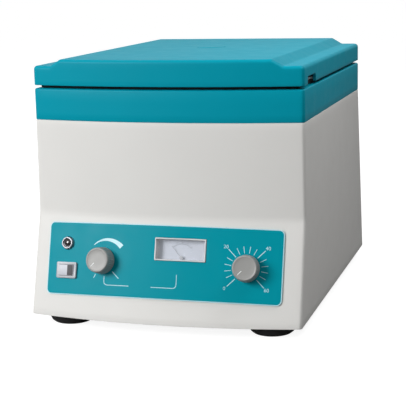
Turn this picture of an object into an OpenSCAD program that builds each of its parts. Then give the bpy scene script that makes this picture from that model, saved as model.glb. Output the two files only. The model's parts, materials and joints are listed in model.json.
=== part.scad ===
// Bench cytocentrifuge: a closed cabinet with a hinged lid, a steel bowl and a
// rotor that swings four slide clips. The front is bowed in plan, and its lower
// part leans forward and carries the controls. Z = 0 is the underside of the feet.

/* [Cabinet] */
// Width of the collar and lid
body_w = 310; // [290:1:330]
// Depth of the collar, measured at its corners
body_d = 357; // [340:1:400]
// How far the middle of the front stands proud of its corners
front_bow = 16.2; // [8:0.1:24]
// Height of the white cabinet, from its lower edge to the collar
cabinet_h = 219; // [213:1:240]
// Height of the leaning control front above the lower edge
control_h = 113.5; // [110:0.5:120]
// How far the control front comes forward at the bottom
front_kick = 32; // [20:1:38]
// How far the back wall runs out at the bottom
rear_kick = 28; // [10:1:36]
// How far each side runs out at the bottom
side_flare = 1.8; // [0:0.1:4]
// Wall of the cabinet
cabinet_wall = 2.5; // [2:0.1:3.5]
// Radius of the upright front corners
front_corner_r = 5; // [4.5:0.5:9]
// Radius of the upright back corners
rear_corner_r = 8; // [5:0.5:14]

/* [Collar and lid] */
// Height of the collar
collar_h = 35.3; // [30:0.1:42]
// Wall of the collar and of its deck
collar_wall = 3; // [2.5:0.1:4]
// Open gap between collar and lid
lid_gap = 3.4; // [3:0.1:5]
// Height of the lid at its side shoulders
lid_h = 21.7; // [20:0.1:28]
// Rise of the raised middle above the shoulders
plateau_rise = 7.4; // [4:0.1:10]
// Width of the raised middle at its top
plateau_w = 241; // [220:1:250]
// Width of each slope beside the raised middle
plateau_slope = 12.5; // [6:0.5:14]
// Wall of the lid
lid_wall = 3; // [2.5:0.1:4]
// Length of each finger notch in the lid's side
notch_l = 44; // [30:1:60]
// Height of each finger notch
notch_h = 8.5; // [6:0.5:9.5]
// Distance of the lid hinges from the middle
hinge_x = 88; // [70:1:105]
// Diameter of the hinge pins
hinge_pin_d = 4; // [3:0.5:5]

/* [Bowl and motor] */
// Inner radius of the bowl
bowl_r = 128; // [126:0.5:130]
// Inner depth of the bowl below its flange
bowl_depth = 108; // [105:1:112]
// Thickness of the bowl's sheet
bowl_wall = 1; // [0.8:0.1:1.5]
// Place of the spindle, front to back
spindle_y = 8; // [4:1:14]
// Diameter of the spindle
spindle_d = 8; // [7:0.5:10]
// Diameter of the motor can
motor_d = 96; // [84:1:104]

/* [Rotor] */
// Open gap between the rotor's rim and the bowl
rotor_gap = 12; // [8:0.5:16]
// Distance of the clip pivots from the rotor's rim
seat_inset = 20; // [18:0.5:24]
// Number of seats on the rotor
seat_count = 8; // [8:1:8]
// How far a clip leans inward when the rotor stands still
clip_lean = 15; // [8:1:18]
// Length of a microscope slide
slide_l = 76; // [72:1:76]
// Width of a microscope slide
slide_w = 26; // [24:0.5:26]
// Thickness of a microscope slide
slide_t = 1; // [0.9:0.1:1.2]

/* [Controls] */
// Width of the control panel
panel_w = 274; // [272:1:280]
// Height of the control panel
panel_h = 82; // [80:1:88]
// Middle of the control panel above the lower edge, along the slope
panel_v = 69.5; // [67:0.5:70]
// Diameter of both knobs
knob_d = 30; // [28:0.5:40]
// Height of both knobs
knob_h = 15; // [12:0.5:15]
// Diameter of both control shafts
shaft_d = 6; // [5:0.5:6.5]
// Width of the meter's window
window_w = 58; // [50:1:62]
// Height of the meter's window
window_h = 25; // [22:1:27]
// Width of the switch frame
switch_w = 25; // [22:0.5:26]
// Height of the switch frame
switch_h = 18; // [16:0.5:20]
// How far the rocker tips
rocker_tip = 12; // [8:1:14]
// Diameter of the pilot lamp's ring
pilot_d = 15; // [13:0.5:16]

/* [Feet] */
// Height of the feet
foot_h = 12; // [10:0.5:16]
// Diameter of the feet at the cabinet
foot_d = 54; // [44:1:56]

/* [Hidden] */
$fn = 48;

// Clearances: a loose fit, a running fit, and the gap that parts of two bodies keep
fit = 0.3;
running = 0.05;
seat_gap = 0.3;
over = 1;

// Colours
teal = [0.03, 0.52, 0.60];
white = [0.86, 0.86, 0.85];
grey = [0.56, 0.55, 0.53];
steel = [0.72, 0.73, 0.75];
dark = [0.12, 0.12, 0.13];

// Heights, from the floor up
base_z = foot_h;
waist_z = base_z + control_h;
collar_z = base_z + cabinet_h;
deck_z = collar_z + collar_h;
lid_z = deck_z + lid_gap;
shoulder_z = lid_z + lid_h;
plateau_z = shoulder_z + plateau_rise;

// Plan of the cabinet: the box is centred, so the front corners follow from the sizes
total_d = front_bow + front_kick + body_d + rear_kick;
bow_r = (body_w * body_w / 4 + front_bow * front_bow) / (2 * front_bow);
front_y = -total_d / 2 + front_kick + front_bow;
back_y = total_d / 2 - rear_kick;
bow_centre_y = front_y - front_bow + bow_r;

// The leaning front is a round wall whose axis leans with it
lean = atan(front_kick / control_h);
face_r = bow_r / cos(lean);
face_y = -total_d / 2;

// Points of an arc, corner by corner
function arc(cx, cy, r, a0, a1, n) =
    [for (i = [0:n]) let (a = a0 + (a1 - a0) * i / n) [cx + r * cos(a), cy + r * sin(a)]];

// Outline of the cabinet, taken in by t and with the walls moved out by the kicks
function plan(t = 0, front = 0, rear = 0, flare = 0) =
    let (hw = body_w / 2 - t + flare, r = bow_r - t, ya = bow_centre_y - front, yr = back_y - t + rear,
        rf = max(front_corner_r - t, 0.5), rr = max(rear_corner_r - t, 0.5),
        yk = ya - sqrt(pow(r - rf, 2) - pow(hw - rf, 2)), phi = atan((hw - rf) / (ya - yk)))
    concat(
        arc(hw - rf, yk, rf, phi - 90, 0, 5),
        arc(hw - rr, yr - rr, rr, 0, 90, 6),
        arc(rr - hw, yr - rr, rr, 90, 180, 6),
        arc(rf - hw, yk, rf, 180, 270 - phi, 5),
        [for (i = [1:23]) let (a = -phi + 2 * phi * i / 24) [r * sin(a), ya - r * cos(a)]]);

// Share of the full kick that a wall has at height z
function kick_share(z, top) = max(0, (top - z) / (top - base_z));
function plan_at(z, t) = plan(t, front_kick * kick_share(z, waist_z),
    rear_kick * kick_share(z, collar_z), side_flare * kick_share(z, collar_z));

// A closed solid through outlines at rising heights
module loft(levels) {
    n = len(levels[0][1]);
    last = len(levels) - 1;
    points = [for (l = levels) for (p = l[1]) [p[0], p[1], l[0]]];
    sides = [for (k = [0:last - 1]) for (i = [0:n - 1]) let (j = (i + 1) % n)
        each [[k * n + i, (k + 1) * n + i, (k + 1) * n + j], [k * n + i, (k + 1) * n + j, k * n + j]]];
    polyhedron(points, concat([[for (i = [0:n - 1]) i]],
        [[for (i = [n - 1:-1:0]) last * n + i]], sides));
}

module prism(points, z, h) translate([0, 0, z]) linear_extrude(h) polygon(points);

// A plate with round corners, drawn in its own plane
module rounded_plate(w, h, r, t) {
    linear_extrude(t) {
        square([w - 2 * r, h], center = true);
        square([w, h - 2 * r], center = true);
        for (x = [-1, 1], y = [-1, 1]) translate([x * (w / 2 - r), y * (h / 2 - r)]) circle(r);
    }
}

// A ring about the Z axis
module ring(r_out, r_in, h) {
    difference() {
        cylinder(r = r_out, h = h);
        translate([0, 0, -over]) cylinder(r = r_in, h = h + 2 * over);
    }
}

// Places children on the leaning front: x along it, y up the slope, z straight out
module on_face(u, v)
    translate([0, face_y, base_z]) rotate([-lean, 0, 0])
        translate([0, face_r, 0]) rotate([0, 0, u / face_r * 180 / PI])
            translate([0, -face_r, v]) rotate([90, 0, 0]) children();

// Places of the controls on the leaning front, from the ends of the panel
panel_u = -2;
left_u = panel_u - panel_w / 2;
right_u = panel_u + panel_w / 2;
pilot_at = [left_u + 25, panel_v + 17];
switch_at = [left_u + 25.5, panel_v - 13.5];
speed_at = [left_u + 69.5, panel_v - 1.2];
window_at = [panel_u + 23, panel_v + 14.5];
timer_at = [right_u - 40, panel_v - 2.5];
panel_gap = 0.1;
panel_t = 1.2;
panel_top = panel_gap + panel_t;
panel_corner_r = 6;
switch_body_w = switch_w - 4;
switch_body_h = switch_h - 4;
bush_d = shaft_d + 3;

// Holes through the front wall for one set of controls, from depth to well outside
module control_holes(depth) {
    on_face(pilot_at.x, pilot_at.y) translate([0, 0, -depth]) cylinder(d = pilot_neck_d + 2 * fit, h = depth + 9);
    on_face(switch_at.x, switch_at.y) translate([-switch_body_w / 2 - fit, -switch_body_h / 2 - fit, -depth])
        cube([switch_body_w + 2 * fit, switch_body_h + 2 * fit, depth + 9]);
    for (p = [speed_at, timer_at]) on_face(p.x, p.y) translate([0, 0, -depth]) cylinder(d = bush_d + 2 * fit, h = depth + 9);
    on_face(window_at.x, window_at.y) translate([-window_w / 2 - fit, -window_h / 2 - fit, -depth])
        cube([window_w + 2 * fit, window_h + 2 * fit, depth + 9]);
}

// The back wall leans too; this places children on it, z straight out
rear_lean = atan(rear_kick / cabinet_h);
module on_back(x, v)
    translate([0, total_d / 2, base_z]) rotate([rear_lean, 0, 0])
        translate([x, 0, v]) rotate([90, 0, 180]) children();
inlet_at = [body_w / 2 - 59, 42];
fuse_at = [body_w / 2 - 103, 42];
inlet_w = 27;
inlet_h = 20;
fuse_d = 12;
vent_count = 9;
vent_pitch = 9;
vent_l = 52;
vent_h = 3.5;
vent_x = body_w / 2 - 93;
vent_v = 100;
ledge_t = 1;
ledge_w = 10;

module body_shell() color(white) {
    t = cabinet_wall;
    floor_z = base_z + ledge_t;
    difference() {
        loft([for (z = [base_z, waist_z, collar_z]) [z, plan_at(z, 0)]]);
        // the inside stands on a ledge for the floor plate, and runs out at the top
        loft([[floor_z, plan_at(floor_z, t)], [waist_z, plan_at(waist_z, t)], [collar_z + over, plan(t)]]);
        prism(plan_at(base_z, ledge_w), base_z - over, ledge_t + 2 * over);
        control_holes(20);
        on_back(inlet_at.x, inlet_at.y) translate([-inlet_w / 2 - fit, -inlet_h / 2 - fit, -15])
            cube([inlet_w + 2 * fit, inlet_h + 2 * fit, 25]);
        on_back(fuse_at.x, fuse_at.y) translate([0, 0, -15]) cylinder(d = fuse_d + 2 * fit, h = 25);
        for (side = [-1, 1], i = [0:vent_count - 1])
            on_back(side * vent_x, vent_v + i * vent_pitch) translate([-vent_l / 2, 0, -15]) cube([vent_l, vent_h, 25]);
    }
}

// The collar: a skirt, a deck with the bowl's opening, and a spigot into the cabinet
flange_r = bowl_r + 10;
flange_t = bowl_wall;
spigot_h = 8;
spigot_t = 2;

module top_ring() color(teal) {
    difference() {
        union() {
            difference() {
                prism(plan(), collar_z, collar_h);
                prism(plan(collar_wall), collar_z - over, collar_h - collar_wall + over);
            }
            difference() {
                prism(plan(cabinet_wall + fit), collar_z - spigot_h, spigot_h + 6);
                prism(plan(cabinet_wall + fit + spigot_t), collar_z - spigot_h - over, spigot_h + 6 + 2 * over);
            }
        }
        translate([0, spindle_y, deck_z - 10]) cylinder(r = bowl_r + bowl_wall + fit, h = 20, $fn = 96);
    }
}

// The floor of the cabinet and what stands on it
plate_t = 2;
plate_z = base_z + ledge_t;
floor_top = plate_z + plate_t;
pillar_r = motor_d / 2 + 32;
pillar_d = 16;
foot_x = body_w / 2 - 37;
foot_front_y = -total_d / 2 + front_bow + 29;
foot_rear_y = total_d / 2 - 40;
foot_screw_d = 5;
floor_vent_r = 30;

module base_plate() color(steel) {
    difference() {
        prism(plan_at(floor_top, cabinet_wall + fit), plate_z, plate_t);
        at_feet() translate([0, 0, plate_z - over]) cylinder(d = foot_screw_d + 2 * fit, h = plate_t + 2 * over);
        for (a = [0:60:300]) translate([0, spindle_y, plate_z - over]) rotate(a)
            translate([floor_vent_r, 0, 0]) cylinder(d = 14, h = plate_t + 2 * over);
    }
}

module at_feet()
    for (x = [-1, 1], y = [foot_front_y, foot_rear_y]) translate([x * foot_x, y, 0]) children();

// Each foot is a tapered rubber cup, bored for its screw
module feet() color(dark) {
    at_feet() difference() {
        union() {
            rotate_extrude() polygon([[0, 0], [foot_d * 0.40, 0], [foot_d * 0.45, 2.5],
                [foot_d / 2, foot_h - 3], [foot_d / 2, foot_h], [0, foot_h]]);
            translate([0, 0, foot_h]) cylinder(d = 20, h = plate_z - foot_h);
        }
        translate([0, 0, -over]) cylinder(d = 12, h = 5 + over);
        translate([0, 0, -over]) cylinder(d = foot_screw_d + 2 * fit, h = foot_h + 3);
    }
}

module foot_screws() color(steel) {
    at_feet() {
        translate([0, 0, 2]) cylinder(d = 9, h = 3);
        cylinder_from(5, foot_screw_d, floor_top + 4);
        translate([0, 0, floor_top]) ring(4.5, foot_screw_d / 2, 4);
    }
}

module cylinder_from(z0, d, z1) translate([0, 0, z0]) cylinder(d = d, h = z1 - z0);

// The bowl hangs by its flange on the deck
bowl_floor = deck_z - bowl_depth;
bowl_hole_r = 30;
bowl_bend_r = 12;

module bowl() color(steel) {
    at_spindle() rotate_extrude($fn = 120) {
        translate([bowl_hole_r, bowl_floor - bowl_wall]) square([bowl_r - bowl_bend_r - bowl_hole_r, bowl_wall]);
        translate([bowl_r, bowl_floor + bowl_bend_r])
            square([bowl_wall, deck_z + flange_t - bowl_floor - bowl_bend_r]);
        translate([bowl_r, deck_z]) square([flange_r - bowl_r, flange_t]);
        translate([bowl_r - bowl_bend_r, bowl_floor + bowl_bend_r]) intersection() {
            difference() {
                circle(bowl_bend_r + bowl_wall);
                circle(bowl_bend_r);
            }
            translate([0, -bowl_bend_r - bowl_wall]) square(bowl_bend_r + bowl_wall);
        }
    }
}

// Motor: can, two end bells with bearings, hung from a plate on rubber dampers
plate_top = bowl_floor - bowl_wall - 6;
motor_plate_t = 4;
hang_z = plate_top - motor_plate_t;
bell_t = 8;
can_h = 82;
can_z = hang_z - bell_t - can_h;
neck_r = 13;
neck_h = 16;
bearing_d = spindle_d + 14;
bearing_h = 7;
damper_h = 14;
damper_d = 24;
can_wall = 3;
magnet_t = 7;
armature_r = motor_d / 2 - can_wall - magnet_t - 1;
commutator_r = 17;

module at_spindle() translate([0, spindle_y, 0]) children();
module at_pillars() at_spindle() for (a = [45:90:315]) rotate(a) translate([pillar_r, 0, 0]) children();

module motor_can() color(dark)
    at_spindle() translate([0, 0, can_z]) ring(motor_d / 2, motor_d / 2 - can_wall, can_h);

// Two curved magnets inside the can
module motor_magnets() color([0.30, 0.30, 0.32])
    at_spindle() for (a = [0, 180]) rotate(a) translate([0, 0, can_z + 10])
        rotate_extrude(angle = 140, start = -70) translate([armature_r + 1, 0]) square([magnet_t - 0.1, can_h - 30]);

// Two carbon brushes in their boxes, which hang from the upper end bell
module motor_brushes() color([0.25, 0.22, 0.20])
    at_spindle() for (a = [90, 270]) rotate(a)
        translate([commutator_r + 0.3, -5, can_z + can_h - 12]) cube([16, 10, 12]);

module motor_end_bells() color(steel) {
    at_spindle() {
        difference() {
            union() {
                cylinder_from(hang_z - bell_t, motor_d, hang_z);
                cylinder_from(hang_z, 2 * neck_r, plate_top + neck_h);
            }
            cylinder_from(hang_z - bell_t - over, spindle_d + 4, plate_top + neck_h + over);
            cylinder_from(hang_z - bell_t - over, bearing_d, hang_z - bell_t + bearing_h);
        }
        difference() {
            cylinder_from(can_z - bell_t, motor_d, can_z);
            cylinder_from(can_z - bearing_h, bearing_d, can_z + over);
        }
    }
}

module motor_bearings() color(steel)
    at_spindle() for (z = [can_z - bearing_h, hang_z - bell_t]) translate([0, 0, z])
        ring(bearing_d / 2, spindle_d / 2 + running, bearing_h);

module motor_plate() color(steel) {
    difference() {
        at_spindle() translate([0, 0, hang_z]) rounded_plate(150, 150, 14, motor_plate_t);
        at_spindle() cylinder_from(hang_z - over, 2 * neck_r + 2 * fit, plate_top + over);
        at_pillars() cylinder_from(hang_z - over, 8.6, plate_top + over);
    }
}

// Each damper is a rubber drum with a stud through it
module motor_dampers() color(dark)
    at_pillars() {
        cylinder_from(hang_z - damper_h, damper_d, hang_z);
        cylinder_from(hang_z, 8, plate_top + 3);
    }

module motor_pillars() color(steel)
    at_pillars() cylinder_from(floor_top, pillar_d, hang_z - damper_h);

// A rubber boot closes the bowl's floor round the motor's neck
module shaft_boot() color(dark)
    at_spindle() rotate_extrude() polygon([
        [neck_r + 0.1, bowl_floor - 4], [bowl_hole_r + 6, bowl_floor - bowl_wall - 3],
        [bowl_hole_r + 6, bowl_floor - bowl_wall], [bowl_hole_r - 0.1, bowl_floor - bowl_wall],
        [bowl_hole_r - 0.1, bowl_floor], [bowl_hole_r + 6, bowl_floor], [bowl_hole_r + 4, bowl_floor + 2],
        [neck_r + 4, bowl_floor + 6], [neck_r + 0.1, bowl_floor + 6]]);

// Rotor: spindle, hub, plate, seats and lock nut
rotor_d = 2 * (bowl_r - rotor_gap);
seat_r = rotor_d / 2 - seat_inset;
plate_bottom = bowl_floor + 15;
rotor_t = 3;
rim_h = 8;
seat_z = plate_bottom + rotor_t;
hub_bottom = plate_bottom - 4;
hub_r = 22;
hub_top = seat_z + 32;
nut_h = 18;
hub_seat_r = 14;

module motor_shaft() color(steel)
    at_spindle() cylinder_from(can_z - bearing_h + 0.5, spindle_d, hub_top + nut_h - 6);

module motor_armature() color([0.55, 0.30, 0.14])
    at_spindle() difference() {
        union() {
            cylinder_from(can_z + 10, 2 * armature_r, can_z + can_h - 20);
            cylinder_from(can_z + can_h - 20, 20, can_z + can_h - 13);
            cylinder_from(can_z + can_h - 13, 2 * commutator_r, can_z + can_h - 2);
        }
        cylinder_from(can_z, spindle_d + 0.04, can_z + can_h);
    }

module rotor_plate() color(steel)
    at_spindle() difference() {
        union() {
            cylinder_from(plate_bottom, rotor_d, seat_z);
            translate([0, 0, plate_bottom - rim_h]) ring(rotor_d / 2, rotor_d / 2 - 3, rim_h);
        }
        cylinder_from(plate_bottom - over, 2 * hub_seat_r + 0.1, seat_z + over);
        for (a = [22.5:45:360]) rotate(a) translate([seat_r - 38, 0, plate_bottom - over])
            cylinder(d = 16, h = rotor_t + 2 * over);
    }

module rotor_hub() color(grey)
    at_spindle() difference() {
        union() {
            cylinder_from(hub_bottom, 2 * hub_r, plate_bottom);
            cylinder_from(plate_bottom, 2 * hub_seat_r, seat_z);
            translate([0, 0, seat_z]) cylinder(r1 = hub_r, r2 = 13, h = hub_top - seat_z);
        }
        cylinder_from(hub_bottom - over, spindle_d + 0.04, hub_top + over);
    }

module rotor_nut() color(dark)
    at_spindle() difference() {
        union() {
            cylinder_from(hub_top, 28, hub_top + 4);
            cylinder_from(hub_top + 4, 32, hub_top + nut_h);
        }
        cylinder_from(hub_top - over, spindle_d + 0.04, hub_top + nut_h - 5);
        for (a = [0:24:336]) rotate(a) translate([17, 0, hub_top + 3]) cylinder(d = 4, h = nut_h);
    }

// A seat is a bracket of two ears and a back, bored for the clip's trunnions
trunnion_d = 4;
pivot_h = 11;
pivot_z = seat_z + pivot_h;
clip_w = slide_w + 3.2;
ear_gap = clip_w + 2.4;
ear_t = 4;
ear_out = 9.5;
ear_in = 8;
back_t = 2.5;
back_h = 37;
ear_h = 21;

module at_seat(a) at_spindle() rotate(a) translate([seat_r, 0, pivot_z]) children();

module rotor_seats() color(steel)
    for (i = [0:seat_count - 1]) at_seat(i * 360 / seat_count) difference() {
        union() {
            for (s = [-1, 1]) translate([-ear_in, s * (ear_gap + ear_t) / 2 - ear_t / 2, -pivot_h])
                cube([ear_in + ear_out, ear_t, ear_h]);
            translate([ear_out - back_t, -ear_gap / 2 - ear_t, -pivot_h]) cube([back_t, ear_gap + 2 * ear_t, back_h]);
        }
        // the trunnions lie in slots that are open at the top, so that a clip lifts out
        rotate([90, 0, 0]) translate([0, 0, -40]) cylinder(d = trunnion_d + 2 * running, h = 80);
        for (s = [-1, 1]) translate([-trunnion_d / 2 - running, s * (ear_gap + ear_t) / 2 - ear_t, 0])
            cube([trunnion_d + 2 * running, 2 * ear_t, ear_h]);
        translate([ear_out - 10, 0, back_h - pivot_h - 11]) rotate([0, 90, 0]) cylinder(d = 12, h = 20);
    }

// One clip with its slide and chamber, about its pivot, x outward, leaning inward at rest
clip_t = 1.2;
clip_back = 3;
clip_foot = -8;
clip_top = 60;
slide_foot = clip_foot + clip_t + 0.1;
card_t = 0.6;
flange_w = slide_w - 2;
chamber_flange_t = 3;
slide_in = clip_back - 0.1 - slide_t;
card_in = slide_in - 0.1 - card_t;
chamber_in = card_in - chamber_flange_t;
cup_x = chamber_in - 13;
cup_r = 8;
cup_wall = 1.3;
cup_top = 50;
outlet_z = 13;
outlet_r = 4.5;

module at_clip(k) at_seat((k - 1) * 90) rotate([0, -clip_lean, 0]) children();

module slide_clip(k) color(steel)
    at_clip(k) {
        translate([clip_back, -clip_w / 2, clip_foot]) cube([clip_t, clip_w, clip_top - clip_foot]);
        for (s = [-1, 1]) {
            translate([chamber_in - 2, s * (clip_w - clip_t) / 2 - clip_t / 2, clip_foot])
                cube([clip_back - chamber_in + 2 + clip_t, clip_t, clip_top - clip_foot - 6]);
            for (z = [18, 40]) translate([chamber_in - 1.4, s > 0 ? clip_w / 2 - 5.4 : -clip_w / 2 + 0.2, z])
                cube([1.2, 5.2, 9]);
            rotate([s * -90, 0, 0]) translate([0, 0, clip_w / 2 - clip_t])
                cylinder(d = trunnion_d, h = (ear_gap - clip_w) / 2 + ear_t + clip_t);
        }
        translate([chamber_in, -clip_w / 2, clip_foot]) cube([clip_back - chamber_in, clip_w, clip_t]);
    }

module glass_slide(k) color([0.80, 0.90, 0.90, 0.5])
    at_clip(k) translate([slide_in, -slide_w / 2, slide_foot]) cube([slide_t, slide_w, slide_l]);

// The chamber: a cup that drains through its outlet onto the slide, with its filter card
module sample_funnel(k) color([0.93, 0.94, 0.94])
    at_clip(k) {
        difference() {
            union() {
                translate([chamber_in, -flange_w / 2, slide_foot + 1]) cube([chamber_flange_t, flange_w, 52]);
                translate([cup_x, 0, outlet_z]) rotate([0, 90, 0]) cylinder(r = outlet_r, h = chamber_in - cup_x + 1);
                translate([cup_x, 0, outlet_z - 5]) cylinder(r1 = 4, r2 = cup_r, h = 9);
                translate([cup_x, 0, outlet_z + 4]) cylinder(r = cup_r, h = cup_top - outlet_z - 4);
                translate([cup_x, 0, cup_top - 2]) cylinder(r = cup_r + 1.2, h = 2);
            }
            translate([cup_x, 0, outlet_z + 5]) cylinder(r = cup_r - cup_wall, h = cup_top);
            translate([cup_x, 0, outlet_z - 2]) cylinder(r1 = 2.6, r2 = cup_r - cup_wall, h = 7.01);
            translate([cup_x, 0, outlet_z]) rotate([0, 90, 0]) cylinder(r = 2.6, h = 40);
        }
        difference() {
            translate([card_in, -flange_w / 2, slide_foot + 1]) cube([card_t, flange_w, 68]);
            translate([card_in - over, 0, outlet_z]) rotate([0, 90, 0]) cylinder(r = 3, h = card_t + 2 * over);
        }
    }

// Control panel: a thin curved plate with round corners on the leaning front
module control_panel() color(teal) {
    difference() {
        translate([0, face_y, base_z]) rotate([-lean, 0, 0]) intersection() {
            translate([0, face_r, 0]) ring_sector();
            translate([panel_u, 0, panel_v]) rotate([90, 0, 0]) translate([0, 0, -40])
                rounded_plate(panel_w, panel_h, panel_corner_r, 60);
        }
        control_holes(12);
    }
}

module ring_sector() difference() {
    cylinder(r = face_r + panel_top, h = control_h + 20, $fn = 900);
    translate([0, 0, -over]) cylinder(r = face_r + panel_gap, h = control_h + 20 + 2 * over, $fn = 900);
}

// Meter: a case behind the wall, its dial, its needle and a clear window
meter_depth = 30;
meter_lip = 1.5;
dial_z = -7;
needle_z = dial_z + 2.2;
needle_hub_r = 2;
needle_drop = window_h / 2 - meter_lip - needle_hub_r - 0.4;
needle_l = 17;
needle_span = 84;
case_top = -cabinet_wall - 0.4;

module at_meter() on_face(window_at.x, window_at.y) children();

module meter_case() color(dark)
    at_meter() difference() {
        union() {
            translate([-window_w / 2 - 6, -window_h / 2 - 5, -meter_depth]) cube([window_w + 12, window_h + 10, meter_depth + case_top - 0.6]);
            translate([-window_w / 2, -window_h / 2, case_top - 2]) cube([window_w, window_h, panel_top - case_top + 2.6]);
        }
        translate([-window_w / 2 + meter_lip, -window_h / 2 + meter_lip, dial_z - 1.2])
            cube([window_w - 2 * meter_lip, window_h - 2 * meter_lip, 20]);
    }

module meter_dial() color([0.82, 0.83, 0.87])
    at_meter() difference() {
        translate([-window_w / 2 + meter_lip + 0.1, -window_h / 2 + meter_lip + 0.1, dial_z - 1.1])
            cube([window_w - 2 * meter_lip - 0.2, window_h - 2 * meter_lip - 0.2, 1.1]);
        translate([0, -needle_drop, dial_z - 2]) cylinder(d = 1.4, h = 4);
    }

module meter_window() color([0.85, 0.88, 0.92, 0.4])
    at_meter() translate([-window_w / 2 + meter_lip + 0.1, -window_h / 2 + meter_lip + 0.1, panel_top - 1.6])
        cube([window_w - 2 * meter_lip - 0.2, window_h - 2 * meter_lip - 0.2, 1.2]);

module meter_needle() color(dark)
    at_meter() translate([0, -needle_drop, 0]) rotate(needle_span / 2) {
        translate([-0.35, 0, needle_z - 0.3]) cube([0.7, needle_l, 0.6]);
        translate([0, 0, needle_z - 1]) cylinder(r = needle_hub_r, h = 1.8);
        translate([0, 0, dial_z - 0.9]) cylinder(d = 1.2, h = needle_z - dial_z);
    }

// Switch: a frame with a rocker that tips about an upright pin
rocker_w = switch_w - 7;
rocker_h = switch_h - 6;
rocker_z = panel_top - 1;

module switch_frame() color([0.72, 0.72, 0.71])
    on_face(switch_at.x, switch_at.y) difference() {
        union() {
            translate([0, 0, panel_top + 0.05]) rounded_plate(switch_w, switch_h, 1.5, 2.2);
            translate([-switch_body_w / 2, -switch_body_h / 2, -20]) cube([switch_body_w, switch_body_h, 20 + panel_top + 1]);
        }
        translate([-rocker_w / 2 - 0.6, -rocker_h / 2 - 0.4, rocker_z - 5.4]) cube([rocker_w + 1.2, rocker_h + 0.8, 20]);
        translate([0, 0, rocker_z]) rotate([90, 0, 0]) translate([0, 0, -switch_body_h / 2 + 0.4])
            cylinder(d = 2 + 2 * running, h = switch_body_h - 0.8);
    }

module switch_rocker() color([0.80, 0.80, 0.79])
    on_face(switch_at.x, switch_at.y) translate([0, 0, rocker_z]) rotate([0, rocker_tip / 2, 0]) {
        rotate([90, 0, 0]) linear_extrude(rocker_h, center = true)
            polygon([[-rocker_w / 2 + 1, -1.8], [rocker_w / 2 - 1, -1.8], [rocker_w / 2 - 0.3, 4.6],
                [0, 3.4], [-rocker_w / 2 + 0.3, 4.6]]);
        rotate([90, 0, 0]) cylinder(d = 2, h = switch_body_h - 1.2, center = true);
    }

// Pilot lamp: a plated ring with a dark lens
pilot_neck_d = pilot_d - 5;
pilot_lens_d = pilot_d - 7.5;

module pilot_bezel() color(steel)
    on_face(pilot_at.x, pilot_at.y) difference() {
        union() {
            translate([0, 0, panel_top + 0.05]) cylinder(d1 = pilot_d, d2 = pilot_d - 2.4, h = 3.4);
            translate([0, 0, -14]) cylinder(d = pilot_neck_d, h = 14 + panel_top + 1);
            translate([0, 0, -cabinet_wall - 3.2]) cylinder(d = pilot_neck_d + 5, h = 2.6, $fn = 6);
        }
        translate([0, 0, -10]) cylinder(d = pilot_lens_d + 0.1, h = 20);
    }

module pilot_lens() color([0.25, 0.05, 0.05])
    on_face(pilot_at.x, pilot_at.y) translate([0, 0, -9.9]) cylinder(d = pilot_lens_d, h = 9.9 + panel_top + 2);

// Speed control and timer behind the wall; their shafts and knobs turn
knob_gap = 0.5;
knob_z = panel_top + knob_gap;
bush_top = panel_top + 0.3;

module control_can(w, h, depth)
    difference() {
        union() {
            translate([0, 0, -cabinet_wall - depth - 1]) rounded_plate(w, h, 3, depth);
            translate([0, 0, -cabinet_wall - 1.5]) cylinder(d = bush_d, h = cabinet_wall + 1.5 + bush_top);
        }
        translate([0, 0, -cabinet_wall - depth + 4]) cylinder(d = shaft_d + 2 * running, h = depth + 20);
    }

module speed_control() color([0.20, 0.30, 0.22]) on_face(speed_at.x, speed_at.y) control_can(28, 28, 14);
module timer_unit() color([0.75, 0.70, 0.55]) on_face(timer_at.x, timer_at.y) control_can(50, 50, 30);
module control_shaft(depth) translate([0, 0, -cabinet_wall - depth + 4.2])
    cylinder(d = shaft_d, h = cabinet_wall + depth - 4.2 + knob_z + 11);
module speed_shaft() color(steel) on_face(speed_at.x, speed_at.y) control_shaft(14);
module time_shaft() color(steel) on_face(timer_at.x, timer_at.y) control_shaft(30);

// A knob: a knurled barrel that tapers to a flat face, with a bore for the shaft
knob_face_d = knob_d - 4;
flute_count = 36;

module knob() color(grey)
    translate([0, 0, knob_z]) difference() {
        union() {
            cylinder(d1 = knob_d, d2 = knob_d - 2, h = knob_h - 2);
            translate([0, 0, knob_h - 2]) cylinder(d1 = knob_d - 2, d2 = knob_face_d, h = 2);
        }
        translate([0, 0, -over]) cylinder(d = shaft_d + 0.04, h = 11.1 + over);
        for (i = [0:flute_count - 1]) rotate(i * 360 / flute_count) translate([knob_d / 2 + 0.35, 0, 1.5])
            cylinder(d = 1.8, h = knob_h + 4);
        // the pointer's groove, at the low end of the scale when the knob is at rest
        rotate(-135) translate([0, knob_d / 2 - 8, knob_h - 0.5]) translate([-0.5, 0, 0]) cube([1, 10, 3]);
    }

module speed_knob() on_face(speed_at.x, speed_at.y) rotate(270) knob();
module time_knob() on_face(timer_at.x, timer_at.y) rotate(270) knob();

// Electronics on the cabinet's floor
board_w = 96;
board_d = 62;
board_t = 1.6;
post_h = 8;
supply_y = spindle_y - motor_d / 2 - 102;

module control_board() color([0.10, 0.35, 0.20])
    translate([20, supply_y, floor_top]) {
        translate([0, 0, post_h]) cube([board_w, board_d, board_t]);
        for (x = [6, board_w - 6], y = [6, board_d - 6]) translate([x, y, 0]) cylinder(d = 6, h = post_h);
        translate([10, 10, post_h + board_t]) cube([22, 30, 24]);
        for (x = [44:18:80]) translate([x, 38, post_h + board_t]) cylinder(d = 14, h = 22);
        for (x = [42:12:78]) translate([x, 10, post_h + board_t]) cube([7, 10, 6]);
    }

// The transformer: an iron core with two windows, and a winding round its middle leg
core_w = 66;
core_d = 44;
core_h = 56;
core_leg = 11;
winding_gap = 0.2;

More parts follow.
